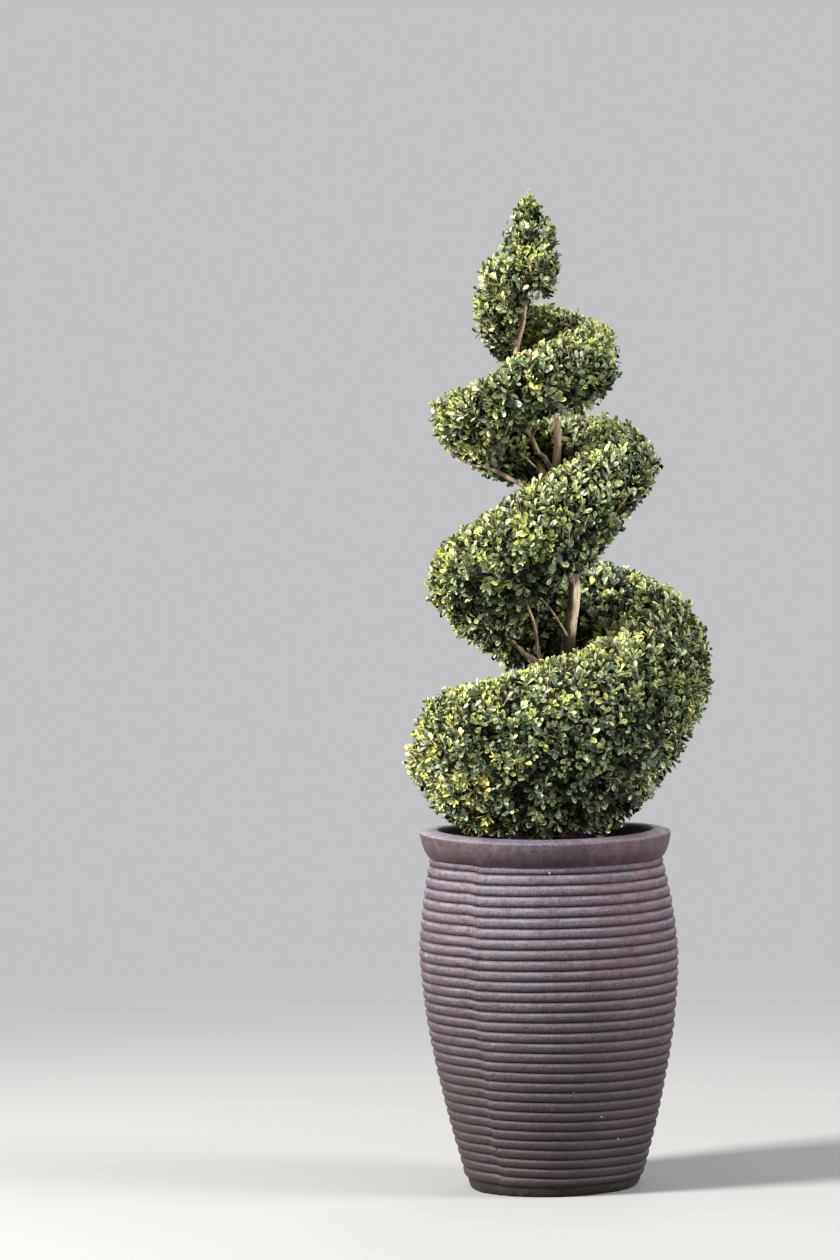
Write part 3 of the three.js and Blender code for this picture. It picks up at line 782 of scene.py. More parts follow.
@dataclass(frozen=True)
class Jar:
    """The barrel-shaped jar, built up in coils that close at a seam on its left front.

    How many coils lie below a height in metres is a polynomial, with its lowest power first.
    """

    foot_radius: float = 147.0
    belly_radius: float = 221.0
    belly_height: float = 400.0
    neck_radius: float = 197.5
    neck_height: float = 567.0
    curve_power: float = 1.6
    floor: float = 25.0
    coils: tuple[float, float, float, float] = (-1.1872, 62.7886, -11.513, 6.4983)
    ribs_start: float = 19.0
    lip_bottom: float = 562.4
    foot_tilt: float = 0.031
    foot_span: Span = (8.0, 48.0)
    belly_tilt: float = 0.0115
    belly_span: Span = (200.0, 400.0)
    lip_tilt: float = 0.018
    lip_span: Span = (500.0, 600.0)
    sag: float = 2.2
    sag_span: Span = (566.0, 600.0)
    groove_depth: float = 4.6
    rows_per_rib: int = 10
    columns: int = 208
    crowding: float = 0.75
    crowding_power: float = 2.2
    seam_angle: float = math.radians(-126.0)
    seam_step: float = 3.2
    seam_width: float = 0.006
    seam_wander: float = 0.006
    uneven_from: Span = (8.0, 28.0)
    uneven_to: Span = (576.0, 558.0)
    wander: Waves = Waves(15, 60.0)
    slow: Waves = Waves(11, 210.0)
    hand: Waves = Waves(12, 46.0)
    coil: Waves = Waves(13, 110.0, 12)
    fine: Waves = Waves(14, 15.0, 14)
    rough_foot: float = 19.0
    rolled_rim: float = 604.0
    chip_depth: float = 2.6
    chips_reach: float = 24.0
    smear_reach: float = 9.0
    hole_radius: float = 9.0
    hole_circle: float = 80.0
    holes: int = 3
    lip: tuple[tuple[float, float], ...] = (
        (194.8, 562.6), (197.6, 562.2), (200.4, 565.0), (203.0, 568.8), (205.4, 573.0),
        (207.8, 578.2), (209.8, 583.8), (211.4, 589.6), (212.6, 595.4), (213.2, 600.2),
        (213.3, 602.8), (212.6, 604.4), (210.6, 605.8), (206.6, 607.3), (201.0, 608.9),
        (194.0, 610.0), (186.6, 609.8), (182.6, 608.4), (180.2, 605.2), (178.8, 600.0),
        (178.0, 592.0), (177.4, 578.0), (177.2, 560.0), (177.0, 540.0),
    )
    foot_edge: tuple[tuple[float, float], ...] = (
        (137.5, 0.0), (141.4, 2.0), (144.2, 5.4), (146.2, 10.0), (147.2, 15.0), (147.2, 19.4),
    )

    def radius(self, z: Array) -> Array:
        """Works out the outer radius, without the ribs.

        Args:
            z: Heights.

        Returns:
            The radius at each.
        """
        below = z < self.belly_height
        drop = self.belly_radius - np.where(below, self.foot_radius, self.neck_radius)
        span = np.where(below, self.belly_height, self.neck_height - self.belly_height)
        return self.belly_radius - drop * (np.abs(z - self.belly_height) / span) ** self.curve_power

    def tilt(self, z: Array) -> Array:
        """Works out how far the coils climb from the right to the left.

        Args:
            z: Heights.

        Returns:
            The slope at each.
        """
        tilt = self.foot_tilt * smooth_step(z, *self.foot_span)
        tilt = tilt + (self.belly_tilt - self.foot_tilt) * smooth_step(z, *self.belly_span)
        return tilt + (self.lip_tilt - self.belly_tilt) * smooth_step(z, *self.lip_span)

    def rib_rows(self) -> Array:
        """Works out the ribs, round at their crests and sharp at their grooves.

        Returns:
            Radius and height, row by row up the wall.
        """
        even = np.linspace(-1.0, 1.0, self.rows_per_rib, endpoint=False)
        place = np.sign(even) * (1 - (1 - np.abs(even)) ** 1.5)
        grid = np.linspace(self.ribs_start - 2.0, self.lip_bottom, 4000)
        counts = np.polyval(self.coils[::-1], grid * MM)
        ribs = math.ceil(counts[-1])
        wanted = (np.arange(ribs)[:, None] + (place + 1) / 2).ravel()
        places = np.tile(place, ribs)[wanted < counts[-1]]
        heights = np.interp(wanted[wanted < counts[-1]], counts, grid)
        dip = 1 - (1 - np.abs(places) ** 2.8) ** 0.8
        tucked = 3.0 * ramp(heights, self.lip_bottom - 7.0, self.lip_bottom) ** 2
        return np.stack([self.radius(heights) - self.groove_depth * dip - tucked, heights], axis=1)

    def profile(self) -> Array:
        """Returns radius and height from the foot's edge over the lip to the inside of the wall."""
        return np.concatenate([np.array(self.foot_edge), self.rib_rows(), np.array(self.lip)])

    def wall_corners(self) -> Array:
        """Works out the corners of the wall, uneven as a hand-built jar is and closest at its seam.

        Returns:
            The corners, by row, column and coordinate.
        """
        profile = self.profile()
        even = np.linspace(-1.0, 1.0, self.columns, endpoint=False)
        crowded = np.sign(even) * np.abs(even) ** self.crowding_power
        offsets = 0.5 * ((1.0 - self.crowding) * even + self.crowding * crowded)
        angles = self.seam_angle + TAU * offsets
        radius, z = profile[:, :1], profile[:, 1:]
        seam = np.concatenate([np.zeros_like(z), np.zeros_like(z), z], axis=1)
        turned = offsets[None, :] - self.seam_wander * self.wander.at(seam)[:, None]
        ribbed = ramp(z, *self.uneven_from) * ramp(z, *self.uneven_to)
        step = self.seam_step * (turned - 0.5 * np.tanh(turned / self.seam_width))
        height = z + ribbed * step
        beside = np.abs(turned) * TAU * radius
        places = np.stack([radius * np.cos(angles), radius * np.sin(angles), height], axis=-1)
        slow, hand, coil, fine = [
            waves.at((places * [1.0, 1.0, finer]).reshape(-1, 3)).reshape(height.shape)
            for waves, finer in ((self.slow, 1.0), (self.hand, 1.0), (self.coil, 5.0), (self.fine, 1.6))
        ]
        chips = np.clip(fine - 0.6, 0.0, 1.0) * (0.25 + np.exp(-((beside / self.chips_reach) ** 2)))
        smear = np.exp(-((beside / self.smear_reach) ** 2)) * (2.0 * hand + 1.4 * coil)
        rough = np.exp(-((z / self.rough_foot) ** 2)) * (1.4 * hand + 1.5 * fine)
        rolled = np.exp(-(((z - self.rolled_rim) / 12.0) ** 2)) * 0.5 * hand
        swell = ribbed * (0.35 * coil + smear - self.chip_depth * chips)
        outward = radius + (0.9 * slow + swell + rough + rolled)
        height = height + ribbed * (0.7 * coil + 0.25 * hand)
        height = height - self.tilt(z) * radius * np.cos(angles)
        height = height + self.sag * np.cos(2.0 * angles) * smooth_step(z, *self.sag_span)
        height = height + np.where(z > 1.0, rough * 0.3, 0.0)
        return np.stack([outward * np.cos(angles), outward * np.sin(angles), height], axis=-1)

    def add_underside(self, shape: Shape, edge: Array) -> None:
        """Adds the flat underside with its drain holes.

        Args:
            shape: The shape to add to.
            edge: The corners of the wall's lowest row.
        """
        around = 54
        sector = TAU / self.holes
        rim = np.linalg.norm(edge[:, :2], axis=1).mean()
        for hole in range(self.holes):
            middle = sector * (hole + 0.5)
            centre = self.hole_circle * np.array([math.cos(middle), math.sin(middle)])
            angles = np.arange(around) * TAU / around
            ways = np.stack([np.cos(angles), np.sin(angles)], axis=1)
            along = ways @ centre
            reach = -along + np.sqrt(along**2 - self.hole_circle**2 + rim**2)
            for side in (-1, 1):
                border = middle + side * sector / 2
                outward = side * np.array([-math.sin(border), math.cos(border)])
                closing = ways @ outward
                room = -(centre @ outward) / np.where(closing > 1e-6, closing, 1e-6)
                reach = np.where(closing > 1e-6, np.minimum(reach, room), reach)
            bore = centre + ways * self.hole_radius
            rows = [
                np.column_stack([bore, np.full(around, self.floor)]),
                np.column_stack([bore, np.zeros(around)]),
                np.column_stack([centre + ways * reach[:, None], np.zeros(around)]),
            ]
            shape.add(np.concatenate(rows), wrapped_grid(3, around)[:, ::-1])

    def build(self) -> None:
        """Builds and dresses the jar, in place of the node pot."""
        corners = self.wall_corners()
        shape = Shape()
        shape.add(corners.reshape(-1, 3), wrapped_grid(len(corners), self.columns))
        self.add_underside(shape, corners[0])
        jar = shape.piece("jar", [ClayFinish().material(self)])
        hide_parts("pot")


@dataclass(frozen=True)
class Soil:
    """The soil in the jar, with an uneven top and loose crumbs."""

    top: float = 555.0
    radius: float = 176.5
    rings: int = 40
    columns: int = 120
    laid_on: float = 4.0
    mounds: Waves = Waves(21, 70.0)
    clods: Waves = Waves(22, 16.0)
    crumbs: int = 260
    crumb_seed: int = 23
    crumb_sizes: Span = (1.2, 4.6)

    def heights(self, places: Array) -> Array:
        """Returns how high the uneven top lies over the node at some places."""
        level = places * [1.0, 1.0, 0.0]
        return self.laid_on + 2.2 * self.mounds.at(level) + 1.1 * self.clods.at(level)

    def add_crumbs(self, shape: Shape) -> None:
        """Adds the loose crumbs, each a small uneven octahedron.

        Args:
            shape: The shape to add to.
        """
        random = np.random.default_rng(self.crumb_seed)
        spread = self.radius * np.sqrt(random.uniform(0.02, 0.94, self.crumbs))
        turn = random.uniform(0.0, TAU, self.crumbs)
        middles = np.stack([spread * np.cos(turn), spread * np.sin(turn), np.zeros(self.crumbs)], axis=1)
        middles[:, 2] = self.top + self.heights(middles) + 0.8
        corners = np.array([[1, 0, 0], [0, 1, 0], [-1, 0, 0], [0, -1, 0], [0, 0, 1], [0, 0, -1]])
        faces = [[0, 1, 4], [1, 2, 4], [2, 3, 4], [3, 0, 4], [1, 0, 5], [2, 1, 5], [3, 2, 5], [0, 3, 5]]
        sizes = random.uniform(*self.crumb_sizes, (self.crumbs, 1, 3))
        sizes = sizes * random.uniform(0.6, 1.2, (self.crumbs, 6, 3))
        shape.add(*repeated(middles[:, None] + corners[None] * sizes, np.array(faces)))

    def build(self, node: bpy.types.Object) -> None:
        """Dresses the node soil and lays the uneven top with its crumbs on it.

        Args:
            node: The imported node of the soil.
        """
        finish = SoilFinish().material()
        node.data.materials.clear()
        node.data.materials.append(finish)
        angles = np.arange(self.columns) * TAU / self.columns
        radii = np.linspace(self.radius, 1.0, self.rings)
        flat = np.stack([np.outer(radii, np.cos(angles)), np.outer(radii, np.sin(angles))], axis=-1)
        places = np.concatenate([flat, np.zeros((*flat.shape[:2], 1))], axis=-1).reshape(-1, 3)
        places[:, 2] = self.top + self.heights(places)
        shape = Shape()
        shape.add(places, wrapped_grid(self.rings, self.columns))
        self.add_crumbs(shape)
        shape.piece("soil_top", [finish])


# The plant's wood


@dataclass(frozen=True)
class Trunk:
    """The trunk, from a flat cut at the soil up through the foliage to its tip."""

    rows: SmoothRows = SmoothRows((
        (555, 4, 6, 17),
        (700, 20, 8, 15.5),
        (936, 49, 2, 11.6),
        (1027, 60, -4, 10),
        (1110, 48, 2, 9.2),
        (1208, 34, 8, 8),
        (1290, 38, 2, 7),
        (1316, 33, -2, 6.6),
        (1352, 6, -8, 6.2),
        (1400, -27, -4, 5.8),
        (1478, -15, 4, 5.2),
        (1560, -6, 0, 4.4),
        (1597, -4, 0, 3.8),
    ))
    foot: float = 555.3
    tip: float = 1597.0
    sides: int = 30
    steps: int = 330
    flare_height: float = 45.0
    flare_spread: float = 8.0
    flare_lobe: float = 4.0
    lobes: int = 5
    slimmed: float = 0.14
    slimmed_over: Span = (1120.0, 1240.0)
    fissures: Waves = Waves(31, 24.0, 12)
    fissure_depth: float = 0.13
    knots: Waves = Waves(32, 55.0)
    knot_swell: float = 0.10
    bark_radius: float = 60.0

    def point(self, z: float) -> Array:
        """Returns the point of the centre line at a height."""
        x, y, _ = self.rows.at(z)[0]
        return np.array([x, y, z])

    def distance(self, points: Array) -> Array:
        """Works out how far points lie from the trunk's surface, measured level.

        Args:
            points: The points.

        Returns:
            The distance of each, negative inside the trunk.
        """
        x, y, radius = self.rows.at(points[:, 2]).T
        away = np.hypot(points[:, 0] - x, points[:, 1] - y) - radius
        return np.where(points[:, 2] > self.tip, np.maximum(away, points[:, 2] - self.tip), away)

    def corners(self) -> Array:
        """Works out the corners of the bark: level rings with knots, fissures and the root flare.

        Returns:
            The corners, by ring, side and coordinate.
        """
        heights = np.linspace(self.foot, self.tip, self.steps)
        angles = np.arange(self.sides) * TAU / self.sides
        x, y, radius = self.rows.at(heights).T[:, :, None]
        share = np.clip(1 - (heights - self.foot) / self.flare_height, 0.0, 1.0)[:, None] ** 2
        flare = share * (self.flare_spread + self.flare_lobe * np.cos(self.lobes * angles))
        z = np.broadcast_to(heights[:, None], (self.steps, self.sides))
        level = [self.bark_radius * np.cos(angles) + 0 * z, self.bark_radius * np.sin(angles) + 0 * z]
        along = np.stack([*level, z * 0.35], axis=-1)
        fissures = np.abs(self.fissures.at(along.reshape(-1, 3))).reshape(z.shape)
        knots = self.knots.at((along * [1.0, 1.0, 2.4]).reshape(-1, 3)).reshape(z.shape)
        radius = radius * (1.0 - self.slimmed * ramp(heights[:, None], *self.slimmed_over))
        cut = self.fissure_depth * np.clip(0.45 - fissures, 0.0, 1.0)
        size = (radius + flare) * (1.0 + self.knot_swell * knots - cut)
        return np.stack([x + size * np.cos(angles), y + size * np.sin(angles), z], axis=-1)

    def build(self) -> None:
        """Builds and dresses the trunk with its bark's relief, in place of the node trunk."""
        corners = self.corners()
        ends = corners[[0, -1]].mean(axis=1)
        ends[1, 2] += 3.0
        first, last = np.broadcast_to(ends[:, None, None], (2, 1, self.sides, 3))
        rows = np.concatenate([first, corners, last])
        shape = Shape()
        shape.add(rows.reshape(-1, 3), wrapped_grid(len(rows), self.sides))
        trunk = shape.piece("trunk_bark", [TRUNK_BARK.material()])
        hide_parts("trunk")


@dataclass(frozen=True)
class Band:
    """The band of foliage: its clipped outline, which the masses keep to.

    Its rows give, by turn, the section's top, belly and bottom heights, how far it reaches out at
    its belly, its foot and its inner side, and how square it is.
    """

    axis: SmoothRows = SmoothRows((
        (600, 0), (700, 5), (760, 12), (850, 33), (1050, 35), (1200, 8), (1300, 0), (1700, -4),
    ))
    rows: SmoothRows = SmoothRows((
        (-0.25, 1598, 1555, 1500, 46, 44, 11, 3.2),
        (0, 1598, 1558, 1506, 50, 43, 12, 2.5),
        (0.25, 1596, 1548, 1506, 74, 58, 20, 2.6),
        (0.375, 1593, 1518, 1460, 86, 68, 26, 2.3),
        (0.5, 1588, 1484, 1418, 94, 74, 31, 2.1),
        (0.75, 1512, 1450, 1380, 122, 92, 36, 2.2),
        (0.875, 1494, 1428, 1350, 138, 108, 40, 2.3),
        (1, 1474, 1404, 1322, 147, 120, 42, 2.5),
        (1.25, 1432, 1382, 1300, 166, 140, 50, 2.1),
        (1.3125, 1412, 1364, 1286, 170, 136, 52, 2.2),
        (1.375, 1374, 1332, 1266, 172, 130, 53, 2.3),
        (1.5, 1361, 1296, 1226, 177, 116, 56, 2.6),
        (1.75, 1326, 1262, 1182, 193, 150, 60, 2.0),
        (2, 1300, 1230, 1144, 204, 126, 62, 1.8),
        (2.25, 1218, 1125, 1022, 226, 180, 64, 1.9),
        (2.375, 1149, 1070, 968, 228, 162, 64, 1.8),
        (2.5, 1114, 1024, 902, 228, 148, 62, 1.8),
        (2.625, 1092, 1002, 872, 234, 162, 58, 1.8),
        (2.75, 1078, 980, 872, 244, 190, 62, 1.9),
        (3, 1009, 842, 840, 255, 200, 62, 2.2),
        (3.25, 914, 800, 700, 253, 200, 58, 2.5),
        (3.5, 856, 752, 650, 241, 200, 54, 3.0),
        (4, 800, 715, 620, 243, 200, 54, 3.3),
    ))
    start: float = -0.125
    end: float = 3.875
    bun_start: float = 2.875
    bun_bottom: float = 604.0
    bun_foot: float = 166.0
    foot_power: float = 1.8
    least: float = 0.3

    def sizes(self, turn: Array) -> Array:
        """Works out the section's sizes; the bun has a bottom and a foot of its own.

        Args:
            turn: How far along the band, in turns from its top.

        Returns:
            The sizes in the order of the rows, each an array over the turns.
        """
        sizes = self.rows.at(turn).T
        bun = turn >= self.bun_start
        sizes[2, bun] = self.bun_bottom
        sizes[4, bun] = self.bun_foot
        return sizes

    def surface(self, turn: Array, angle: Array, depth: Array) -> Array:
        """Works out points under the clipped outline.

        Args:
            turn: How far along the band, in turns from its top.
            angle: The angle round the section, from its outermost place over its top.
            depth: How far under the outline.

        Returns:
            One point for each.
        """
        top, belly, bottom, reach, foot, inner, power = self.sizes(turn)
        across, up = np.cos(angle), np.sin(angle)
        size = (np.abs(across) ** power + np.abs(up) ** power) ** (-1 / power)
        across, up = across * size, up * size
        height = np.where(up < 0, belly - bottom, top - belly)
        outer = reach - (reach - foot) * np.maximum(-up, 0.0) ** self.foot_power
        width = (outer - inner) / 2
        z = belly + up * np.maximum(height - depth, height * self.least)
        radius = (outer + inner) / 2 + across * np.maximum(width - depth, width * self.least)
        azimuth = -TAU * turn
        x = self.axis.at(z)[:, 0] + radius * np.cos(azimuth)
        return np.stack([x, radius * np.sin(azimuth), z], axis=1)

    def end_surface(self, turn: float, side: int) -> Surface:
        """Makes the surface of one of the band's flat ends.

        Args:
            turn: Where the end is.
            side: 1 where it faces on along the band, -1 where it faces back.

        Returns:
            A function of the share from the section's middle, the angle round it and the depth.
        """
        azimuth = -TAU * turn
        facing = -side * np.array([-math.sin(azimuth), math.cos(azimuth), 0.0])

        def surface(share: Array, angle: Array, depth: Array) -> Array:
            """Works out points under the end.

            Args:
                share: How far from the section's middle to its edge.
                angle: The angle round the section.
                depth: How far under the end.

            Returns:
                One point for each.
            """
            none = np.zeros(len(share))
            turns = none + (turn - side * 1e-6)
            edge = self.surface(turns, angle, none)
            middle = (self.surface(turns, none, none) + self.surface(turns, none + math.pi, none)) / 2
            return middle + (edge - middle) * share[:, None] - facing * depth[:, None]
        return surface

    def beyond(self, points: Array) -> Array:
        """Works out how far points stand out of the clipped outline.

        Args:
            points: The points.

        Returns:
            The distance of each, negative inside the outline.
        """
        x = points[:, 0] - self.axis.at(points[:, 2])[:, 0]
        radius = np.hypot(x, points[:, 1])
        offset = (-np.arctan2(points[:, 1], x) / TAU - self.start) % 1.0
        nearest = np.full(len(points), np.inf)
        for step in range(-1, math.ceil(self.end) + 1):
            wanted = self.start + offset + step
            turn = np.clip(wanted, self.start, self.end)
            past = np.abs(wanted - turn) * TAU * radius
            top, belly, bottom, reach, foot, inner, power = self.sizes(turn)
            height = np.where(points[:, 2] < belly, belly - bottom, top - belly)
            up = (points[:, 2] - belly) / height
            outer = reach - (reach - foot) * np.clip(-up, 0.0, 1.0) ** self.foot_power
            width = (outer - inner) / 2
            across = (radius - (outer + inner) / 2) / width
            size = (np.abs(across) ** power + np.abs(up) ** power) ** (1 / power)
            size = np.maximum(size, 1e-6)
            slope = np.hypot(
                (np.abs(across) / size) ** (power - 1) / width,
                (np.abs(up) / size) ** (power - 1) / height,
            )
            out = (size - 1) / np.maximum(slope, 1e-6)
            nearest = np.minimum(nearest, np.where(past > 0, np.hypot(np.maximum(out, 0), past), out))
        return nearest

    def room(self, turn: Array) -> Array:
        """Returns how deep the section is from its outline to its middle, the thinnest way."""
        top, _, bottom, reach, _, inner, _ = self.sizes(turn)
        return np.minimum((reach - inner) / 2, (top - bottom) / 2)

    def heart(self, turn: float) -> Array:
        """Returns the middle of the section at a turn."""
        turns = np.full(2, turn)
        return self.surface(turns, np.array([0.0, math.pi]), np.zeros(2)).mean(axis=0)


@dataclass(frozen=True)
class Tuft:
    """The blunt cone of foliage on top of the spiral."""

    x: float = 0.0
    bottom: float = 1600.0
    top: float = 1703.0
    radius: float = 49.0
    power: float = 1.6
    overlap: float = 44.0
    least: float = 0.05
    steepness: float = 0.85

    def surface(self, share: Array, angle: Array, depth: Array) -> Array:
        """Works out points under the cone's outline.

        Args:
            share: How far up it, from 0 to 1.
            angle: The angle round it.
            depth: How far under the outline.

        Returns:
            One point for each.
        """
        share = np.clip(share, 0.0, 1.0)
        radius = np.maximum(self.radius * (1 - share**self.power) - depth, self.least * self.radius)
        height = self.top - self.bottom
        z = self.bottom + np.minimum(share * height, height - depth)
        return np.stack([self.x + radius * np.cos(angle), radius * np.sin(angle), z], axis=1)

    def beyond(self, points: Array) -> Array:
        """Works out how far points stand out of the clipped outline.

        Args:
            points: The points.

        Returns:
            The distance of each, negative inside the outline.
        """
        share = ramp(points[:, 2], self.bottom, self.top)
        away = np.hypot(points[:, 0] - self.x, points[:, 1]) - self.radius * (1 - share**self.power)
        below = np.maximum(self.bottom - self.overlap - points[:, 2], 0.0)
        return np.where(below > 0, np.hypot(np.maximum(away, 0), below), self.steepness * away)


@dataclass(frozen=True)
class Bough:
    """One limb from the trunk up to its mass, and the stems that carry on from it."""

    turn: float
    name: str
    entry: float = 205.0
    entry_depth: float = 4.0
    leaves_trunk_at: float | None = None
    rise: float = 62.0
    bend_at: float = 0.45
    bend_lift: float = 0.12
    base: float = 2.3
    per_reach: float = 0.0135
    taper: float = 0.66
    collar: float = 0.5
    steps: int = 26
    sides: int = 12
    wander_size: float = 34.0
    wander: float = 2.2
    relief: Waves = Waves(42, 9.0)
    forks: tuple[float, ...] = (-0.07, 0.0, 0.07)
    stem_sides: int = 7
    stem_steps: int = 8
    stem_ahead: float = 12.0
    stem_taper: Span = (0.8, 0.45)
    leads: bool = False
    leader_end: float = 338.0
    leader_along: float = 0.035
    leader_from: float = 0.62
    leader_tip: float = 0.8
    leader_relief: Waves = Waves(43, 9.0)
    through: Point | None = None

    def path(self, trunk: Trunk, band: Band) -> Array:
        """Works out the bough's centre line, from the trunk's.

        Args:
            trunk: The trunk that the bough leaves.
            band: The band that holds its mass.

        Returns:
            Points along it.
        """
        turn, entry = np.array([self.turn]), np.array([math.radians(self.entry)])
        end = band.surface(turn, entry, np.array([self.entry_depth]))[0]
        start = trunk.point(self.leaves_trunk_at or end[2] - self.rise)
        if self.through:
            rows = SmoothRows(((0.0, *start), (1.0, *self.through), (1.8, *end)))
            return rows.at(np.linspace(0.0, 1.8, self.steps + 1))
        bend = start + (end - start) * self.bend_at
        bend[2] += self.bend_lift * np.linalg.norm(end - start)
        return bezier(start, bend, end, self.steps)

    def radii(self, band: Band, count: int) -> Array:
        """Works out the bough's radius, which is widest at its collar on the trunk.

        Args:
            band: The band that holds its mass.
            count: At how many points along it.

        Returns:
            The radius at each.
        """
        share = np.linspace(0.0, 1.0, count)
        base = self.base + self.per_reach * band.rows.at(self.turn)[0, 3]
        return base * (1 + (self.taper - 1) * share + self.collar * np.maximum(0.0, 0.25 - share))

    def grow(self, shape: Shape, trunk: Trunk, band: Band) -> None:
        """Adds the bough and its stems, which fork into the heart of the mass.

        Args:
            shape: The shape to add to.
            trunk: The trunk that the bough leaves.
            band: The band that holds its mass.
        """
        path = self.path(trunk, band)
        waves = Waves(41 + int(8 * self.turn), self.wander_size)
        ease = np.sin(np.linspace(0.0, math.pi, len(path)))[:, None]
        sway = np.stack([waves.at(path), waves.at(path + 500.0), waves.at(path - 500.0)], axis=1)
        path = path + sway * ease * self.wander
        radii = self.radii(band, len(path))
        shape.add_tube(path, radii, self.sides, self.relief)
        ahead = path[-1] + unit(path[-1] - path[-3]) * self.stem_ahead
        for aside in self.forks:
            stem = bezier(path[-1], ahead, band.heart(self.turn + aside), self.stem_steps)
            thickness = radii[-1] * np.linspace(*self.stem_taper, len(stem))
            shape.add_tube(stem, thickness, self.stem_sides)
        if self.leads:
            leader = np.concatenate([path[-1:], self.leader(band)])
            thickness = np.linspace(radii[-1] * self.leader_from, self.leader_tip, len(leader))
            shape.add_tube(leader, thickness, self.stem_sides, self.leader_relief)

    def leader(self, band: Band) -> Array:
        """Works out the side branch that runs outward under the mass.

        Args:
            band: The band that holds the mass.

        Returns:
            Points along it.
        """
        entry = math.radians(self.entry)
        share = np.linspace(0.12, 1.0, 12)
        rise = math.radians(self.leader_end) - entry
        depths = 4.0 - 3.0 * np.sin(share * math.pi) + 6.0 * share**4
        return band.surface(self.turn + self.leader_along * share, entry + rise * share, depths)


@dataclass(frozen=True)
class BareStem:
    """A thin bare stem: points along its centre line, and its radius at its start and its end."""

    points: tuple[Point, ...]
    radii: tuple[float, float]
    sides: int = 9
    relief: Waves = Waves(44, 8.0)

    def grow(self, shape: Shape) -> None:
        """Adds the stem.

        Args:
            shape: The shape to add to.
        """
        rows = SmoothRows(tuple((number, *point) for number, point in enumerate(self.points)))
        last = len(self.points) - 1
        path = rows.at(np.linspace(0.0, last, 8 * last + 1))
        shape.add_tube(path, np.linspace(*self.radii, len(path)), self.sides, self.relief)


@dataclass(frozen=True)
class Boughs:
    """All the boughs, and the bare stems that show beside the trunk.

    For the boughs that the photograph shows, by turn: the height at which each leaves the trunk
    and the angle at which it enters its mass, and a point on its way where it bends more.
    """

    seen: dict[float, tuple[float, float]] = field(default_factory=lambda: {
        1.25: (1212.0, 222.0),
        1.5: (1143.0, 286.0),
        2.5: (842.0, 236.0),
    })
    through: dict[float, Point] = field(default_factory=lambda: {
        1.25: (-8.0, -42.0, 1280.0),
    })
    bare: tuple[BareStem, ...] = (
        BareStem(((-7, -41, 1277), (4, -50, 1295), (14, -60, 1315), (20, -74, 1342)), (2.2, 1.4)),
        BareStem(((32, 2, 1196), (14, -22, 1213), (-4, -44, 1231), (-26, -62, 1252)), (2.0, 1.2)),
        BareStem(((47, -8, 936), (35, -20, 958), (19, -30, 984), (-4, -46, 1014)), (2.6, 1.4)),
        BareStem(((38, 2, 838), (9, -16, 872), (-4, -22, 914), (-11, -27, 965), (-34, -42, 1022)),
                 (4.2, 2.4)),
    )
    leading: float = 1.5

    def bough(self, turn: int, quarter: int) -> Bough:
        """Makes the bough at one quarter of a turn.

        Args:
            turn: The turn, from 0.
            quarter: The quarter, from 0.

        Returns:
            The bough.
        """
        at = turn + quarter / len(SIDES)
        name = f"bough_turn_{turn + 1}_{SIDES[quarter]}"
        if at not in self.seen:
            return Bough(at, name)
        leaves_trunk_at, entry = self.seen[at]
        return Bough(at, name, entry, leaves_trunk_at=leaves_trunk_at, leads=at == self.leading,
                     through=self.through.get(at))

    def all(self) -> list[Bough]:
        """Returns every bough; turn 0 has none, because its masses grow from the trunk."""
        return [self.bough(turn, quarter) for turn in range(1, TURNS) for quarter in range(len(SIDES))]

    def leader_points(self, band: Band) -> Array:
        """Returns points along every side branch that shows under the foliage."""
        return np.concatenate([bough.leader(band) for bough in self.all() if bough.leads])

    def build(self, trunk: Trunk, band: Band) -> None:
        """Builds and dresses the boughs, in place of their nodes.

        Args:
            trunk: The trunk that they leave.
            band: The band that they carry.
        """
        shape = Shape()
        boughs = self.all()
        for bough in boughs:
            bough.grow(shape, trunk, band)
        for stem in self.bare:
            stem.grow(shape)
        piece = shape.piece("boughs", [BOUGH_BARK.material()])
        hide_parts(*[bough.name for bough in boughs])


# Foliage


class LeafPart(Enum):
    """The faces of a spray that each take a colour of their own."""

    OLD = 0
    BLADE = 1
    YOUNG = 2
    RIM = 3


class SprayMix(Enum):
    """The colours of a spray's old leaves (partly painted shade), its others, its young ones and its
    leaves' rims.
    """

    # the inner and shady mixes are painted shade
    INNER = (LeafTint.SHADE, LeafTint.SHADE, LeafTint.DEEP, LeafTint.DEEP)
    SHADY = (LeafTint.SHADE, LeafTint.DEEP, LeafTint.DEEP, LeafTint.BLUE)
    DEEP_EDGED = (LeafTint.SHADE, LeafTint.DEEP, LeafTint.BLUE, LeafTint.FRESH)
    BLUISH = (LeafTint.DEEP, LeafTint.BLUE, LeafTint.BLUE, LeafTint.FRESH)
    GREEN = (LeafTint.DEEP, LeafTint.MID, LeafTint.MID, LeafTint.YELLOW)
    # painted reflection of the sky on the leaves
    WAXY = (LeafTint.BLUE, LeafTint.PALE, LeafTint.PALE, LeafTint.YELLOW)
    SUNNY = (LeafTint.MID, LeafTint.FRESH, LeafTint.FRESH, LeafTint.YELLOW)
    BRONZED = (LeafTint.MID, LeafTint.BRONZE, LeafTint.YELLOW, LeafTint.YELLOW)


# For the inside, the numbers of the mixes INNER and SHADY, dark as painted shade
DARK_MIXES = (0, 0, 1, 1)


@dataclass(frozen=True)
class Leaf:
    """A spoon-shaped leaf of length 1 along +X, with its upper side towards +Z.

    The last of its triangles are its rim.
    """

    corners: tuple[Point, ...]
    triangles: tuple[tuple[int, int, int], ...]
    rim_triangles: int


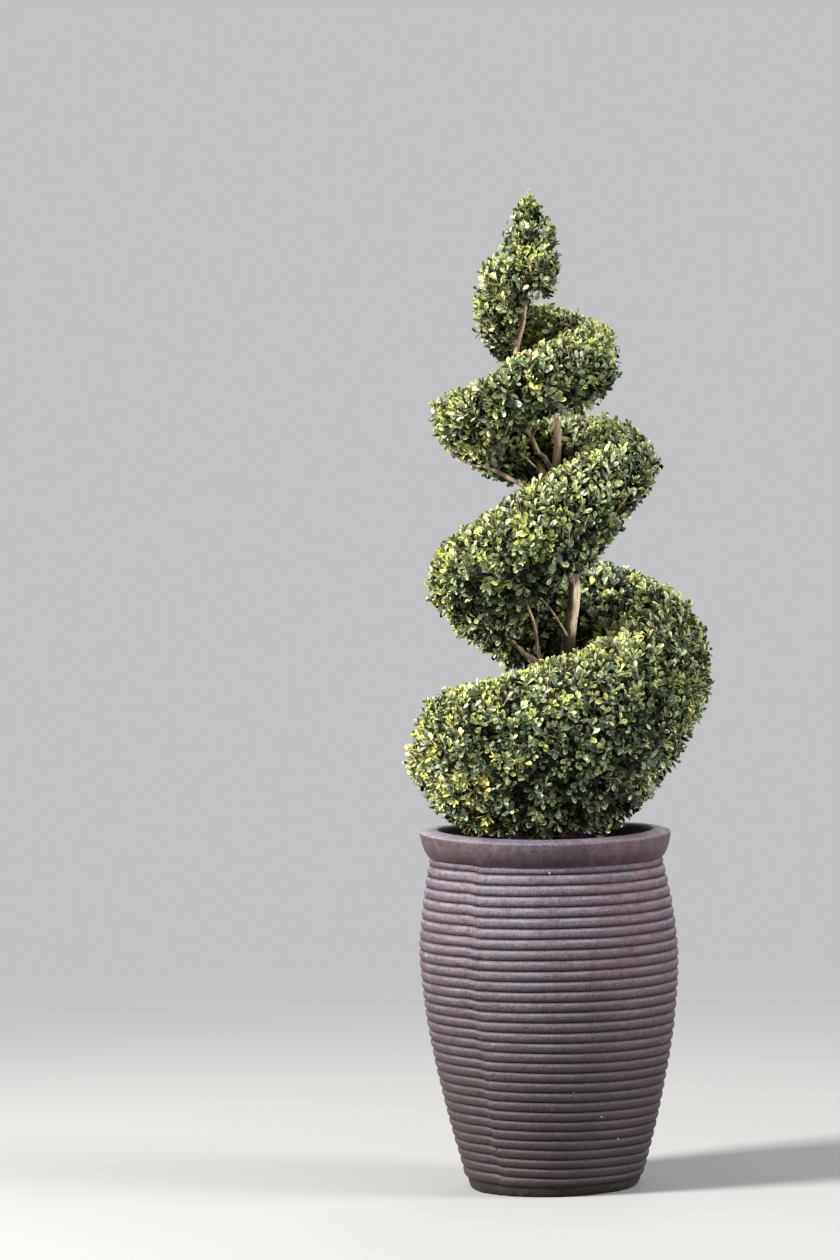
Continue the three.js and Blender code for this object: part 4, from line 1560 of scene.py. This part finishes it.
RIMMED_LEAF = Leaf(
    (
        (0.0, 0.0, 0.0),
        (0.34, 0.145, 0.040), (0.34, -0.145, 0.040),
        (0.66, 0.180, -0.020), (0.66, -0.180, -0.020),
        (0.88, 0.075, -0.060), (0.88, -0.075, -0.060),
        (0.66, 0.255, 0.030), (0.66, -0.255, 0.030),
        (0.985, 0.125, -0.045), (0.985, -0.125, -0.045),
    ),
    (
        (0, 2, 1), (1, 2, 4), (1, 4, 3), (3, 4, 6), (3, 6, 5),
        (1, 3, 7), (3, 5, 9), (3, 9, 7), (5, 6, 10), (5, 10, 9),
        (2, 8, 4), (4, 10, 6), (4, 8, 10),
    ),
    8,
)
SIDE_LEAF = Leaf(
    (
        (0.0, 0.0, 0.0),
        (0.34, 0.150, 0.030), (0.34, -0.150, 0.030),
        (0.68, 0.250, -0.010), (0.68, -0.250, -0.010),
        (0.98, 0.125, -0.060), (0.98, -0.125, -0.060),
    ),
    ((0, 2, 1), (1, 2, 4), (1, 4, 3), (3, 4, 6), (3, 6, 5)),
    0,
)
PLAIN_LEAF = Leaf(
    (
        (0.0, 0.0, 0.0),
        (0.58, 0.250, 0.020), (0.60, 0.0, -0.050), (0.58, -0.250, 0.020),
        (1.0, 0.0, -0.080),
    ),
    ((0, 2, 1), (0, 3, 2), (1, 2, 4), (2, 3, 4)),
    2,
)


@dataclass(frozen=True)
class LeafSet:
    """Leaves of one kind on a spray.

    It holds their roots, their directions along, across and up as the rows of a matrix, their
    lengths, and which part of the spray each is.
    """

    leaf: Leaf
    roots: Array
    bases: Array
    lengths: Array
    parts: Array


@dataclass(frozen=True)
class Spray:
    """A shoot that grows from the origin towards +Z, with its leaves in crossed pairs."""

    seed: int
    leaf: Leaf
    low_leaf: Leaf
    pairs: int
    gap: float
    longest: float
    shortest: float
    opened: tuple[float, float] = (70.0, 38.0)
    bud: bool = True
    bud_length: float = 0.76

    @property
    def length(self) -> float:
        """The length of its stem."""
        return self.gap * (self.pairs + 0.3)

    def rows(self) -> list[tuple[float, ...]]:
        """Works out the leaves, pair by pair from the lowest, with two small ones at the bud.

        Returns:
            Each leaf's height, bearing, opening from the stem, length and roll.
        """
        random = np.random.default_rng(self.seed)
        rows = []
        start = random.uniform(0.0, TAU)
        for pair in range(self.pairs):
            share = pair / max(self.pairs - 1, 1)
            opened = self.opened[0] + (self.opened[1] - self.opened[0]) * share
            length = self.longest + (self.shortest - self.longest) * share**1.3
            for side in (0.0, math.pi):
                rows.append((
                    self.gap * (pair + 0.5 + random.uniform(-0.15, 0.15)),
                    start + pair * math.pi / 2 + side + random.uniform(-0.4, 0.4),
                    math.radians(opened + random.uniform(-20.0, 20.0)),
                    length * random.uniform(0.80, 1.14),
                    random.uniform(-0.6, 0.6),
                ))
        if self.bud:
            for side in (0.0, math.pi):
                bearing = start + self.pairs * math.pi / 2 + side + random.uniform(-0.3, 0.3)
                opened = math.radians(random.uniform(14.0, 36.0))
                rows.append((self.length - 1.0, bearing, opened, self.shortest * self.bud_length, 0.0))
        return rows

    def leaf_sets(self) -> list[LeafSet]:
        """Stands the leaves up on the stem.

        Returns:
            All leaves but the lowest two pairs, and those two pairs.
        """
        rows = self.rows()
        roots, bases = [], []
        for height, bearing, opened, _, roll in rows:
            out = np.array([math.cos(bearing), math.sin(bearing), 0.0])
            along = out * math.sin(opened) + UP * math.cos(opened)
            upper = -out * math.cos(opened) + UP * math.sin(opened)
            side = np.cross(upper, along)
            bases.append([
                along,
                side * math.cos(roll) - upper * math.sin(roll),
                upper * math.cos(roll) + side * math.sin(roll),
            ])
            roots.append(UP * height + out * 0.8)
        roots, bases, lengths = np.array(roots), np.array(bases), np.array([row[3] for row in rows])
        number = np.arange(len(rows))
        low, young = number < 4, number >= len(rows) - (4 if self.bud else 2)
        parts = np.where(young, LeafPart.YOUNG.value, LeafPart.BLADE.value)
        # The lowest two pairs are darker: partly the older leaves' own darker green, partly painted shade
        # deep in the spray.
        parts[low] = LeafPart.OLD.value
        return [
            LeafSet(leaf, roots[chosen], bases[chosen], lengths[chosen], parts[chosen])
            for leaf, chosen in ((self.leaf, ~low), (self.low_leaf, low))
        ]


@dataclass
class Growth:
    """Sprays: where each starts, how it stands, its form and colours, and how far it may reach out."""

    roots: Array
    ways: Array
    rolls: Array
    scales: Array
    forms: Array
    mixes: Array
    allowances: Array

    def chosen(self, keep: Array) -> "Growth":
        """Returns the sprays that a mask keeps."""
        return Growth(*[getattr(self, part.name)[keep] for part in fields(self)])

    @staticmethod
    def joined(growths: "list[Growth]") -> "Growth":
        """Returns all the sprays of several growths."""
        names = [part.name for part in fields(Growth)]
        return Growth(*[np.concatenate([getattr(one, name) for one in growths]) for name in names])


@dataclass(frozen=True)
class Layer:
    """A layer of sprays under the outline: its depth, its spacing and the forms of its sprays.

    An outside layer has lumps, pits and all colours. The others only fill the inside, dark as painted
    shade.
    """

    name: str
    outside: bool
    seed: int
    spacing: float
    depth: float
    lumps: float
    scatter: float
    forms: range
    scale: Span
    allowance: float


@dataclass(frozen=True)
class Region:
    """An oval on the plant as it is seen from the front: its middle and its half sizes."""

    x: float
    z: float
    width: float
    height: float

    def away(self, points: Array) -> Array:
        """Returns how far points lie from its middle, 1 at its edge."""
        return np.hypot((points[:, 0] - self.x) / self.width, (points[:, 2] - self.z) / self.height)

    def share(self, points: Array) -> Array:
        """Returns how far points belong to it, from 1 at its middle to 0 well outside it."""
        return np.exp(-(self.away(points) ** 2))


def spread_over(surface: Surface, ranges: tuple[float, float, float, float], spacing: float,
                random: np.random.Generator) -> tuple[Array, Array, Array, Array]:
    """Spreads points evenly over a surface.

    Args:
        surface: A function of two places on the surface and a depth under it.
        ranges: The lowest and highest value of the first place and of the second.
        spacing: The least distance between two points.
        random: The run of random numbers.

    Returns:
        The two places of each point, the points and the outward normals there.
    """
    first_low, first_high, second_low, second_high = ranges
    cells, candidates, normal_depth, nudge = 160, 4.5, 6.0, 0.2
    step_first = (first_high - first_low) / cells
    step_second = (second_high - second_low) / cells
    first = first_low + (first_high - first_low) * (np.arange(cells) + 0.5) / cells
    second = second_low + (second_high - second_low) * (np.arange(cells) + 0.5) / cells
    grid_first, grid_second = [part.ravel() for part in np.meshgrid(first, second, indexing="ij")]

    def crossed(u: Array, v: Array) -> Array:
        """Works out vectors square to the surface.

        Args:
            u: First places.
            v: Second places.

        Returns:
            For each a vector that is as long as one cell there is large.
        """
        none, du, dv = np.zeros(len(u)), nudge * step_first, nudge * step_second
        along = (surface(u + du, v, none) - surface(u - du, v, none)) / (2.0 * nudge)
        return np.cross(along, (surface(u, v + dv, none) - surface(u, v - dv, none)) / (2.0 * nudge))

    areas = np.linalg.norm(crossed(grid_first, grid_second), axis=1)
    count = int(areas.sum() / spacing**2 * candidates)
    picks = random.choice(len(areas), size=count, p=areas / areas.sum())
    u = grid_first[picks] + step_first * random.uniform(-0.5, 0.5, count)
    v = grid_second[picks] + step_second * random.uniform(-0.5, 0.5, count)
    points = surface(u, v, np.zeros(count))
    keep = apart(points, spacing)
    u, v, points = u[keep], v[keep], points[keep]
    normals = unit(crossed(u, v))
    outward = points - surface(u, v, np.full(len(u), normal_depth))
    normals[np.sum(normals * outward, axis=1) < 0] *= -1
    return u, v, points, normals


def apart(points: Array, spacing: float) -> list[int]:
    """Picks points that keep a distance from each other.

    Args:
        points: The points to pick from, in order.
        spacing: The least distance.

    Returns:
        The numbers of the points that are kept.
    """
    cells: dict[tuple[int, int, int], list[int]] = {}
    kept = []
    places = np.floor(points / spacing).astype(int)
    near = [(x, y, z) for x in (-1, 0, 1) for y in (-1, 0, 1) for z in (-1, 0, 1)]
    rows = points.tolist()
    for number, (x, y, z) in enumerate(places.tolist()):
        px, py, pz = rows[number]
        clear = True
        for dx, dy, dz in near:
            for other in cells.get((x + dx, y + dy, z + dz), ()):
                ox, oy, oz = rows[other]
                if (px - ox) ** 2 + (py - oy) ** 2 + (pz - oz) ** 2 < spacing**2:
                    clear = False
                    break
            if not clear:
                break
        if clear:
            cells.setdefault((x, y, z), []).append(number)
            kept.append(number)
    return kept


@dataclass(frozen=True)
class Foliage:
    """The foliage: sprays over the band and the tuft, in layers, on twigs from the boughs."""

    trunk: Trunk
    band: Band
    leaders: Array
    tuft: Tuft = Tuft()
    layers: tuple[Layer, ...] = (
        Layer("outer", True, 61, 15.0, 8.0, 6.5, 3.6, range(0, 10), (0.76, 1.10), 2.5),
        Layer("sprigs", True, 64, 38.0, -1.0, 2.0, 4.0, range(0, 10), (0.80, 1.00), 8.0),
        Layer("under", False, 62, 19.0, 25.0, 0.0, 6.0, range(10, 14), (0.9, 1.15), 0.0),
        Layer("inner", False, 63, 26.0, 44.0, 0.0, 8.0, range(10, 14), (1.0, 1.25), -8.0),
    )
    wide_lumps: Waves = Waves(82, 78.0)
    small_lumps: Waves = Waves(84, 36.0)
    pits: Waves = Waves(85, 44.0)
    pit_depth: float = 22.0
    highest: float = -5.0
    edges: Waves = Waves(87, 64.0)
    uneven: float = 5.0
    most_out: float = 10.5
    root_room: float = 3.0
    tip_room: float = 6.0
    leaf_room: float = 1.0
    leader_room: float = 8.0
    end_room: float = 34.0
    bare_below: float = -0.45
    bare_share: float = 0.30
    leader_below: float = 0.1
    hollow: Region = Region(-91.0, 790.0, 28.0, 22.0)
    # The sun painted into the leaves' colours, as painted light and shade: it climbs with height and at
    # the tip, is raised under the left and behind the top, and lowered at the low front.
    climb: Span = (720.0, 1240.0)
    tip: Span = (1560.0, 1620.0)
    drift: Waves = Waves(81, 120.0)
    under_left: Region = Region(-110.0, 1265.0, 75.0, 55.0)
    low_left: Region = Region(-190.0, 720.0, 100.0, 90.0)
    low_front: Region = Region(70.0, 705.0, 150.0, 90.0)
    behind_top: Region = Region(20.0, 1470.0, 60.0, 45.0)
    # a patch of painted shade on the back right, under the band above it
    painted_shade_patch: Region = Region(95.0, 1030.0, 70.0, 60.0)
    large_leaves: Region = Region(60.0, 680.0, 120.0, 80.0)
    leaf_sizes: Waves = Waves(86, 90.0)
    shoot_radii: tuple[float, float] = (1.05, 0.7)
    twig_radii: tuple[float, float] = (1.3, 1.05)
    limb_radii: tuple[float, float] = (2.1, 1.2)
    limb_steps: int = 4
    limb_sides: int = 5
    limb_sag: float = 0.12
    fork_spacing: float = 46.0
    fork_reach: float = 10.0
    spine_radius: float = 2.6
    spine_points: int = 33
    spine_sides: int = 6
    spine_relief: Waves = Waves(83, 12.0)
    in_the_tuft: Span = (1590.0, 1665.0)
    most_triangles: int = 185000

    def forms(self) -> list[Spray]:
        """Lists the forms of spray.

        Returns:
            Ten with rimmed leaves, then four plain ones for the inside.
        """
        outer = [Spray(71 + number, RIMMED_LEAF, SIDE_LEAF, 4, 7.2 + 0.5 * (number % 3),
                       22.0 + 1.0 * (number % 4), 17.0) for number in range(10)]
        under = [Spray(91 + number, PLAIN_LEAF, PLAIN_LEAF, 4, 7.5, 17.0, 14.0, (76.0, 48.0), False)
                 for number in range(4)]
        return outer + under

    def surfaces(self) -> list[tuple[Surface, tuple[float, float, float, float]]]:
        """Lists the clipped surfaces.

        Returns:
            Each surface, and the lowest and highest value of its first and its second place.
        """
        band = self.band
        return [
            (band.surface, (band.start, band.end, 0.0, TAU)),
            (band.end_surface(band.start, -1), (0.08, 1.0, 0.0, TAU)),
            (band.end_surface(band.end, 1), (0.08, 1.0, 0.0, TAU)),
            (band.end_surface(band.bun_start, -1), (0.08, 1.0, math.pi, TAU)),
            (self.tuft.surface, (0.0, 0.99, 0.0, TAU)),
        ]

    def beyond(self, points: Array) -> Array:
        """Returns how far points stand out of the clipped outline, negative inside it."""
        return np.minimum(self.band.beyond(points), self.tuft.beyond(points))

    def ways(self, points: Array, normals: Array, random: np.random.Generator) -> Array:
        """Works out which way sprays grow: out of the surface, upward and a little at random.

        Args:
            points: Places on the surface.
            normals: The outward normals there.
            random: The run of random numbers.

        Returns:
            A unit vector for each place.
        """
        outward = unit(points * [1.0, 1.0, 0.0])
        down = np.clip(-normals[:, 2:3], 0.0, 1.0)
        lift = (0.60 + 0.50 * ramp(points[:, 2:3], 950.0, 1250.0)) * (1.0 - down)
        noise = random.normal(size=points.shape) * 0.34
        return unit(normals + UP * lift + outward * (0.5 * down) + noise)

    def sun(self, points: Array, normals: Array) -> Array:
        """Works out how much sun to paint into the leaves' colours at places: most from above and from
        the left.

        Args:
            points: Places on the surface.
            normals: The outward normals there.

        Returns:
            A share from 0 to 1 for each.
        """
        height = 2.0 * ramp(points[:, 2], *self.climb) - 1.0
        sun = 0.45 + 0.36 * normals[:, 2] - 0.36 * normals[:, 0] + 0.30 * self.drift.at(points)
        sun += 0.12 * height + 0.15 * ramp(points[:, 2], *self.tip)
        sun += 0.9 * self.under_left.share(points) - 0.60 * self.low_front.share(points)
        sun += 0.5 * self.behind_top.share(points) * (points[:, 1] > 0.0)
        return np.clip(sun - 0.35 * self.low_left.share(points), 0.0, 1.0)

    def mixes(self, points: Array, normals: Array, random: np.random.Generator) -> Array:
        """Deals colours out to sprays by where they grow and by the sun painted into them: paler,
        yellower mixes as painted light, darker ones as painted shade.

        Args:
            points: Places on the surface.
            normals: The outward normals there.
            random: The run of random numbers.

        Returns:
            The number of a mix for each place.
        """
        sun = self.sun(points, normals)
        shade = 1.0 - sun
        painted_shade_patch = self.painted_shade_patch.share(points) * (points[:, 1] > -60.0)
        # the inner and shady mixes are painted shade on downward faces, away from the sun and in the
        # shaded patch; the sheened and sunny mixes paint light where the sun falls
        shares = {
            SprayMix.INNER: 0.9 * np.clip(-normals[:, 2] - 0.30, 0.0, 1.0) * shade + 0.5 * painted_shade_patch,
            SprayMix.SHADY: 0.50 * shade**1.6 + 1.2 * painted_shade_patch,
            SprayMix.DEEP_EDGED: 0.08 + 0.40 * shade,
            SprayMix.BLUISH: 0.22 + 0.10 * sun,
            SprayMix.GREEN: 0.10 + 0.22 * sun,
            SprayMix.WAXY: 0.04 + 0.56 * sun**1.5,
            SprayMix.SUNNY: 0.01 + 0.13 * sun**2,
            SprayMix.BRONZED: 0.006 + 0.85 * self.low_left.share(points),
        }
        totals = np.cumsum(np.stack([shares[mix] for mix in SprayMix], axis=1), axis=1)
        draws = random.uniform(0.0, 1.0, len(points)) * totals[:, -1]
        return (totals < draws[:, None]).sum(axis=1)

    def depths(self, layer: Layer, points: Array, random: np.random.Generator) -> Array:
        """Works out how deep under the outline the tips of sprays lie.

        Args:
            layer: The layer.
            points: Places on the surface.
            random: The run of random numbers.

        Returns:
            A depth for each place.
        """
        scatter = layer.scatter * random.uniform(-1.0, 1.0, len(points))
        if not layer.outside:
            return layer.depth + scatter
        lumps = layer.lumps * (self.wide_lumps.at(points) + 0.9 * self.small_lumps.at(points))
        pits = self.pit_depth * np.clip(self.pits.at(points) - 0.7, 0.0, 0.9)
        return np.maximum(layer.depth + lumps + pits + scatter, self.highest)

    def clear(self, layer: Layer, growth: Growth, tips: Array, normals: Array,
              random: np.random.Generator) -> Array:
        """Picks the sprays that leave the limbs, part of the underside and the hollow bare.

        Args:
            layer: The layer.
            growth: The sprays.
            tips: Where each ends.
            normals: The outward normals over them.
            random: The run of random numbers.

        Returns:
            A mask over the sprays.
        """
        trunk, down = self.trunk, normals[:, 2]
        clear = (trunk.distance(growth.roots) > self.root_room) & (trunk.distance(tips) > self.tip_room)
        clear &= self.beyond(growth.roots) < 0.0
        bare = (down < self.bare_below) & (random.uniform(0.0, 1.0, len(tips)) < self.bare_share)
        near = distances(tips, self.leaders).min(axis=1) < self.leader_room
        clear &= ~(bare & layer.outside) & ~(near & (down < self.leader_below))
        hollow = self.hollow.away(tips) <= (1.0 if layer.outside else 0.6)
        return clear & ~(hollow & (tips[:, 1] <= 0.0))

    def layer_growth(self, layer: Layer, forms: list[Spray]) -> Growth:
        """Grows one layer of sprays over all the surfaces.

        Args:
            layer: The layer.
            forms: The forms of spray.

        Returns:
            The sprays.
        """
        random = np.random.default_rng(layer.seed)
        lengths = np.array([form.length for form in forms])
        grown = []
        for number, (surface, ranges) in enumerate(self.surfaces()):
            u, v, points, normals = spread_over(surface, ranges, layer.spacing, random)
            count = len(u)
            tips = surface(u, v, self.depths(layer, points, random))
            ways = self.ways(points, normals, random)
            form = random.choice(layer.forms, count)
            scales = random.uniform(*layer.scale, count) * self.leaf_scale(points)
            roots = tips - ways * (lengths[form] * scales)[:, None]
            if layer.outside:
                mixes = self.mixes(points, normals, random)
                uneven = self.uneven * self.edges.at(points)
            else:
                # dark mixes inside, as painted shade
                mixes = random.choice(DARK_MIXES, count)
                uneven = np.zeros(count)
            rolls = random.uniform(0.0, TAU, count)
            allowances = np.minimum(layer.allowance + uneven, self.most_out)
            growth = Growth(roots, ways, rolls, scales, form, mixes, allowances)
            clear = self.clear(layer, growth, tips, normals, random)
            if not layer.outside:
                room = self.band.room(u) if number == 0 else self.end_room
                clear &= room > layer.depth + 4.0
            grown.append(growth.chosen(clear))
        report.info("%s layer: %d sprays", layer.name, sum(len(growth.roots) for growth in grown))
        return Growth.joined(grown)

    def leaf_scale(self, points: Array) -> Array:
        """Works out how large leaves are: small at the lower left, large at the low front.

        Args:
            points: Places on the surface.

        Returns:
            A scale for each.
        """
        large = self.large_leaves.share(points)
        low = ramp(points[:, 2], 1060.0, 860.0)
        left = ramp(points[:, 0], 0.0, -200.0) * low
        return 1.0 + 0.10 * large - 0.06 * low - 0.16 * left + 0.05 * self.leaf_sizes.at(points)

    def turns_of(self, growth: Growth) -> Array:
        """Works out which turn each spray belongs to.

        Args:
            growth: The sprays.

        Returns:
            For each a number from 0, the first turn with the tuft.
        """
        roots = growth.roots
        x = roots[:, 0] - self.band.axis.at(roots[:, 2])[:, 0]
        offset = (-np.arctan2(roots[:, 1], x) / TAU - self.band.start) % 1.0
        turns = self.band.start + offset[:, None] + np.arange(TURNS)[None, :]
        top, _, bottom, *_ = self.band.sizes(turns.ravel())
        middles = ((top + bottom) / 2).reshape(turns.shape)
        nearest = np.abs(roots[:, 2:3] - middles).argmin(axis=1)
        return np.where(roots[:, 2] > self.tuft.bottom, 0, nearest)

    def add_leaves(self, shape: Shape, growth: Growth, forms: list[Spray]) -> None:
        """Adds the leaves of sprays.

        Args:
            shape: The shape to add to.
            growth: The sprays.
            forms: The forms of spray.
        """
        across = square_to(growth.ways)
        third = np.cross(growth.ways, across)
        turned = across * np.cos(growth.rolls)[:, None] + third * np.sin(growth.rolls)[:, None]
        stands = np.stack([turned, np.cross(growth.ways, turned), growth.ways], axis=1)
        for number, form in enumerate(forms):
            mine = growth.forms == number
            if mine.any():
                for leaf_set in form.leaf_sets():
                    self.add_leaf_set(shape, growth.chosen(mine), stands[mine], leaf_set)

    def add_leaf_set(self, shape: Shape, growth: Growth, stands: Array, leaf_set: LeafSet) -> None:
        """Adds one set of leaves to sprays, without those that the shears would have cut.

        Args:
            shape: The shape to add to.
            growth: The sprays, all of one form.
            stands: How each spray stands, as the rows of a matrix.
            leaf_set: The leaves.
        """
        tints = list(LeafTint)
        table = np.array([[tints.index(tint) for tint in mix.value] for mix in SprayMix])
        roots, scales = leaf_set.roots, growth.scales[:, None, None]
        starts = (roots[None] * scales) @ stands + growth.roots[:, None]
        bases = leaf_set.bases[None] @ stands[:, None]
        lengths = leaf_set.lengths[None] * growth.scales[:, None]
        ends = starts + bases[:, :, 0] * lengths[..., None]
        allowed = np.repeat(growth.allowances, len(roots))
        keep = self.beyond(ends.reshape(-1, 3)) < allowed
        keep &= self.trunk.distance(ends.reshape(-1, 3)) > self.leaf_room
        starts, bases = starts.reshape(-1, 3)[keep], bases.reshape(-1, 3, 3)[keep]
        lengths = lengths.ravel()[keep]
        corners = np.array(leaf_set.leaf.corners)[None] * lengths[:, None, None]
        triangles = np.array(leaf_set.leaf.triangles)
        parts = np.repeat(leaf_set.parts[:, None], len(triangles), axis=1)
        parts[:, len(triangles) - leaf_set.leaf.rim_triangles:] = LeafPart.RIM.value
        finishes = table[growth.mixes][:, parts].reshape(-1, len(triangles))[keep]
        shape.add(*repeated(corners @ bases + starts[:, None], triangles), finishes.ravel())

    def spine(self, turn: int) -> Array:
        """Works out the line in the heart of one turn that its limbs grow from.

        Args:
            turn: Which turn it is, from 0.

        Returns:
            Points along the band, and for the first turn some more up the tuft.
        """
        start = turn + self.band.start
        line = np.array([self.band.heart(at) for at in np.linspace(start, start + 1, self.spine_points)])
        if turn > 0:
            return line
        up_the_tuft = [[self.tuft.x, 0.0, z] for z in np.linspace(*self.in_the_tuft, 8)]
        return np.concatenate([line, np.array(up_the_tuft)])

    def add_twigs(self, shape: Shape, growth: Growth, forms: list[Spray], turn: int) -> None:
        """Adds the stems of sprays, the twigs under them and the limbs that carry those.

        Args:
            shape: The shape to add to.
            growth: The sprays of one turn.
            forms: The forms of spray.
            turn: Which turn it is, from 0.
        """
        lengths = np.array([form.length for form in forms])[growth.forms] * growth.scales
        shape.add_sticks(growth.roots, growth.roots + growth.ways * lengths[:, None], self.shoot_radii)
        spine = self.spine(turn)
        joints = growth.roots[apart(growth.roots, self.fork_spacing)]
        bases = spine[distances(joints, spine).argmin(axis=1)]
        forks = joints + unit(bases - joints) * self.fork_reach
        thickness = np.linspace(*self.limb_radii, self.limb_steps + 1)
        for fork, base in zip(forks, bases):
            middle = (fork + base) / 2 - UP * (self.limb_sag * np.linalg.norm(fork - base))
            shape.add_tube(bezier(base, middle, fork, self.limb_steps), thickness, self.limb_sides)
        nearest = distances(growth.roots, forks).argmin(axis=1)
        shape.add_sticks(forks[nearest], growth.roots, self.twig_radii)
        line = spine[:self.spine_points]
        radii = np.full(len(line), self.spine_radius)
        shape.add_tube(line, radii, self.spine_sides, self.spine_relief)

    def nodes_of(self, turn: int) -> list[str]:
        """Returns the nodes that the pieces of one turn stand for."""
        nodes = [f"foliage_turn_{turn + 1}_{side}" for side in SIDES]
        return nodes + ["foliage_tip"] if turn == 0 else nodes

    def build(self) -> None:
        """Builds and dresses the leaves and twigs of every turn, in place of the nodes of foliage."""
        forms = self.forms()
        growth = Growth.joined([self.layer_growth(layer, forms) for layer in self.layers])
        turns = self.turns_of(growth)
        finishes = [LeafFinish(tint).material() for tint in LeafTint]
        twig_finish = TWIG_BARK.material()
        faces = np.array([
            sum(len(leaf_set.roots) * len(leaf_set.leaf.triangles) for leaf_set in form.leaf_sets())
            for form in forms
        ])
        for turn in range(TURNS):
            mine = growth.chosen(turns == turn)
            wanted = np.cumsum(faces[mine.forms])
            parts = wanted // (wanted[-1] / math.ceil(wanted[-1] / self.most_triangles) + 1)
            for part in range(int(parts.max()) + 1):
                shape = Shape()
                self.add_leaves(shape, mine.chosen(parts == part), forms)
                leaves = shape.piece(f"leaves_turn_{turn + 1}_{'abcdef'[part]}", finishes)
                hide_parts(*self.nodes_of(turn))
            shape = Shape()
            self.add_twigs(shape, mine, forms, turn)
            twigs = shape.piece(f"twigs_turn_{turn + 1}", [twig_finish])
            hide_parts(*self.nodes_of(turn))


# Floor, light and camera


@dataclass(frozen=True)
class SoftLight:
    """A large soft light, aimed at a height on the plant."""

    name: str
    place: Point
    size: float
    power: float
    colour: Colour
    aim: Point = (0.0, 0.0, 0.9)

    def build(self) -> None:
        """Hangs the light."""
        data = bpy.data.lights.new(self.name, "AREA")
        data.shape = "DISK"
        data.size = self.size
        data.energy = self.power
        data.color = self.colour
        light = bpy.data.objects.new(self.name, data)
        light.location = self.place
        way = Vector(self.aim) - Vector(self.place)
        light.rotation_euler = way.to_track_quat("-Z", "Y").to_euler()
        light.visible_camera = False
        bpy.context.scene.collection.objects.link(light)


@dataclass(frozen=True)
class Studio:
    """The pale floor and background, the lights and the camera."""

    floor_radius: float = 4.0
    floor_corners: int = 96
    background: Colour = (0.86, 0.87, 0.885)
    background_strength: float = 0.62
    lights: tuple[SoftLight, ...] = (
        SoftLight("key", (-5.5, -2.5, 4.4), 1.8, 1620.0, (1.0, 0.98, 0.94)),
        SoftLight("fill", (5.4, -2.2, 3.2), 3.0, 540.0, (0.98, 0.96, 0.98)),
        SoftLight("back", (1.2, 5.2, 4.6), 3.0, 110.0, (0.95, 0.97, 1.0)),
    )
    camera_place: Point = (0.0, -10.09965, 1.45)
    yaw: float = -0.0202177
    pitch: float = 0.0489888
    roll: float = -0.0270084
    lens: float = 170.0
    sensor_width: float = 36.0
    sight: float = 100.0

    def build_floor(self) -> None:
        """Lays the floor."""
        angles = np.arange(self.floor_corners) * TAU / self.floor_corners
        rim = self.floor_radius * np.stack([np.cos(angles), np.sin(angles), 0 * angles], axis=1)
        mesh = bpy.data.meshes.new("floor")
        mesh.from_pydata(rim.tolist(), [], [range(self.floor_corners)])
        mesh.materials.append(FloorFinish().material())
        floor = bpy.data.objects.new("floor", mesh)
        bpy.context.scene.collection.objects.link(floor)

    def build_background(self) -> None:
        """Sets the pale background."""
        world = bpy.data.worlds.new("pale_background")
        world.use_nodes = True
        node = world.node_tree.nodes["Background"]
        node.inputs["Color"].default_value = (*self.background, 1.0)
        node.inputs["Strength"].default_value = self.background_strength
        bpy.context.scene.world = world
        bpy.context.scene.view_settings.view_transform = "Standard"

    def build_camera(self) -> None:
        """Sets the camera where the photograph was taken from."""
        forward = Vector((
            math.sin(self.yaw) * math.cos(self.pitch),
            math.cos(self.yaw) * math.cos(self.pitch),
            -math.sin(self.pitch),
        ))
        right = Vector((math.cos(self.yaw), -math.sin(self.yaw), 0.0))
        up = right.cross(forward)
        rolled_right = right * math.cos(self.roll) + up * math.sin(self.roll)
        rolled_up = up * math.cos(self.roll) - right * math.sin(self.roll)
        data = bpy.data.cameras.new("camera")
        data.lens = self.lens
        data.sensor_width = self.sensor_width
        data.clip_end = self.sight
        camera = bpy.data.objects.new("camera", data)
        camera.matrix_world = Matrix((
            (rolled_right.x, rolled_up.x, -forward.x, self.camera_place[0]),
            (rolled_right.y, rolled_up.y, -forward.y, self.camera_place[1]),
            (rolled_right.z, rolled_up.z, -forward.z, self.camera_place[2]),
            (0.0, 0.0, 0.0, 1.0),
        ))
        bpy.context.scene.collection.objects.link(camera)
        bpy.context.scene.camera = camera

    def build(self) -> None:
        """Makes the floor, the background, the lights and the camera."""
        self.build_floor()
        self.build_background()
        for light in self.lights:
            light.build()
        self.build_camera()


def main() -> None:
    """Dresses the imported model, piece by piece."""
    logging.basicConfig(level=logging.INFO, format="%(message)s")
    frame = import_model()
    trunk, band, boughs = Trunk(), Band(), Boughs()
    Jar().build()
    Soil().build(frame["nodes"]["soil"])
    trunk.build()
    boughs.build(trunk, band)
    Foliage(trunk, band, boughs.leader_points(band)).build()
    Studio().build()


if __name__ == "__main__":
    main()
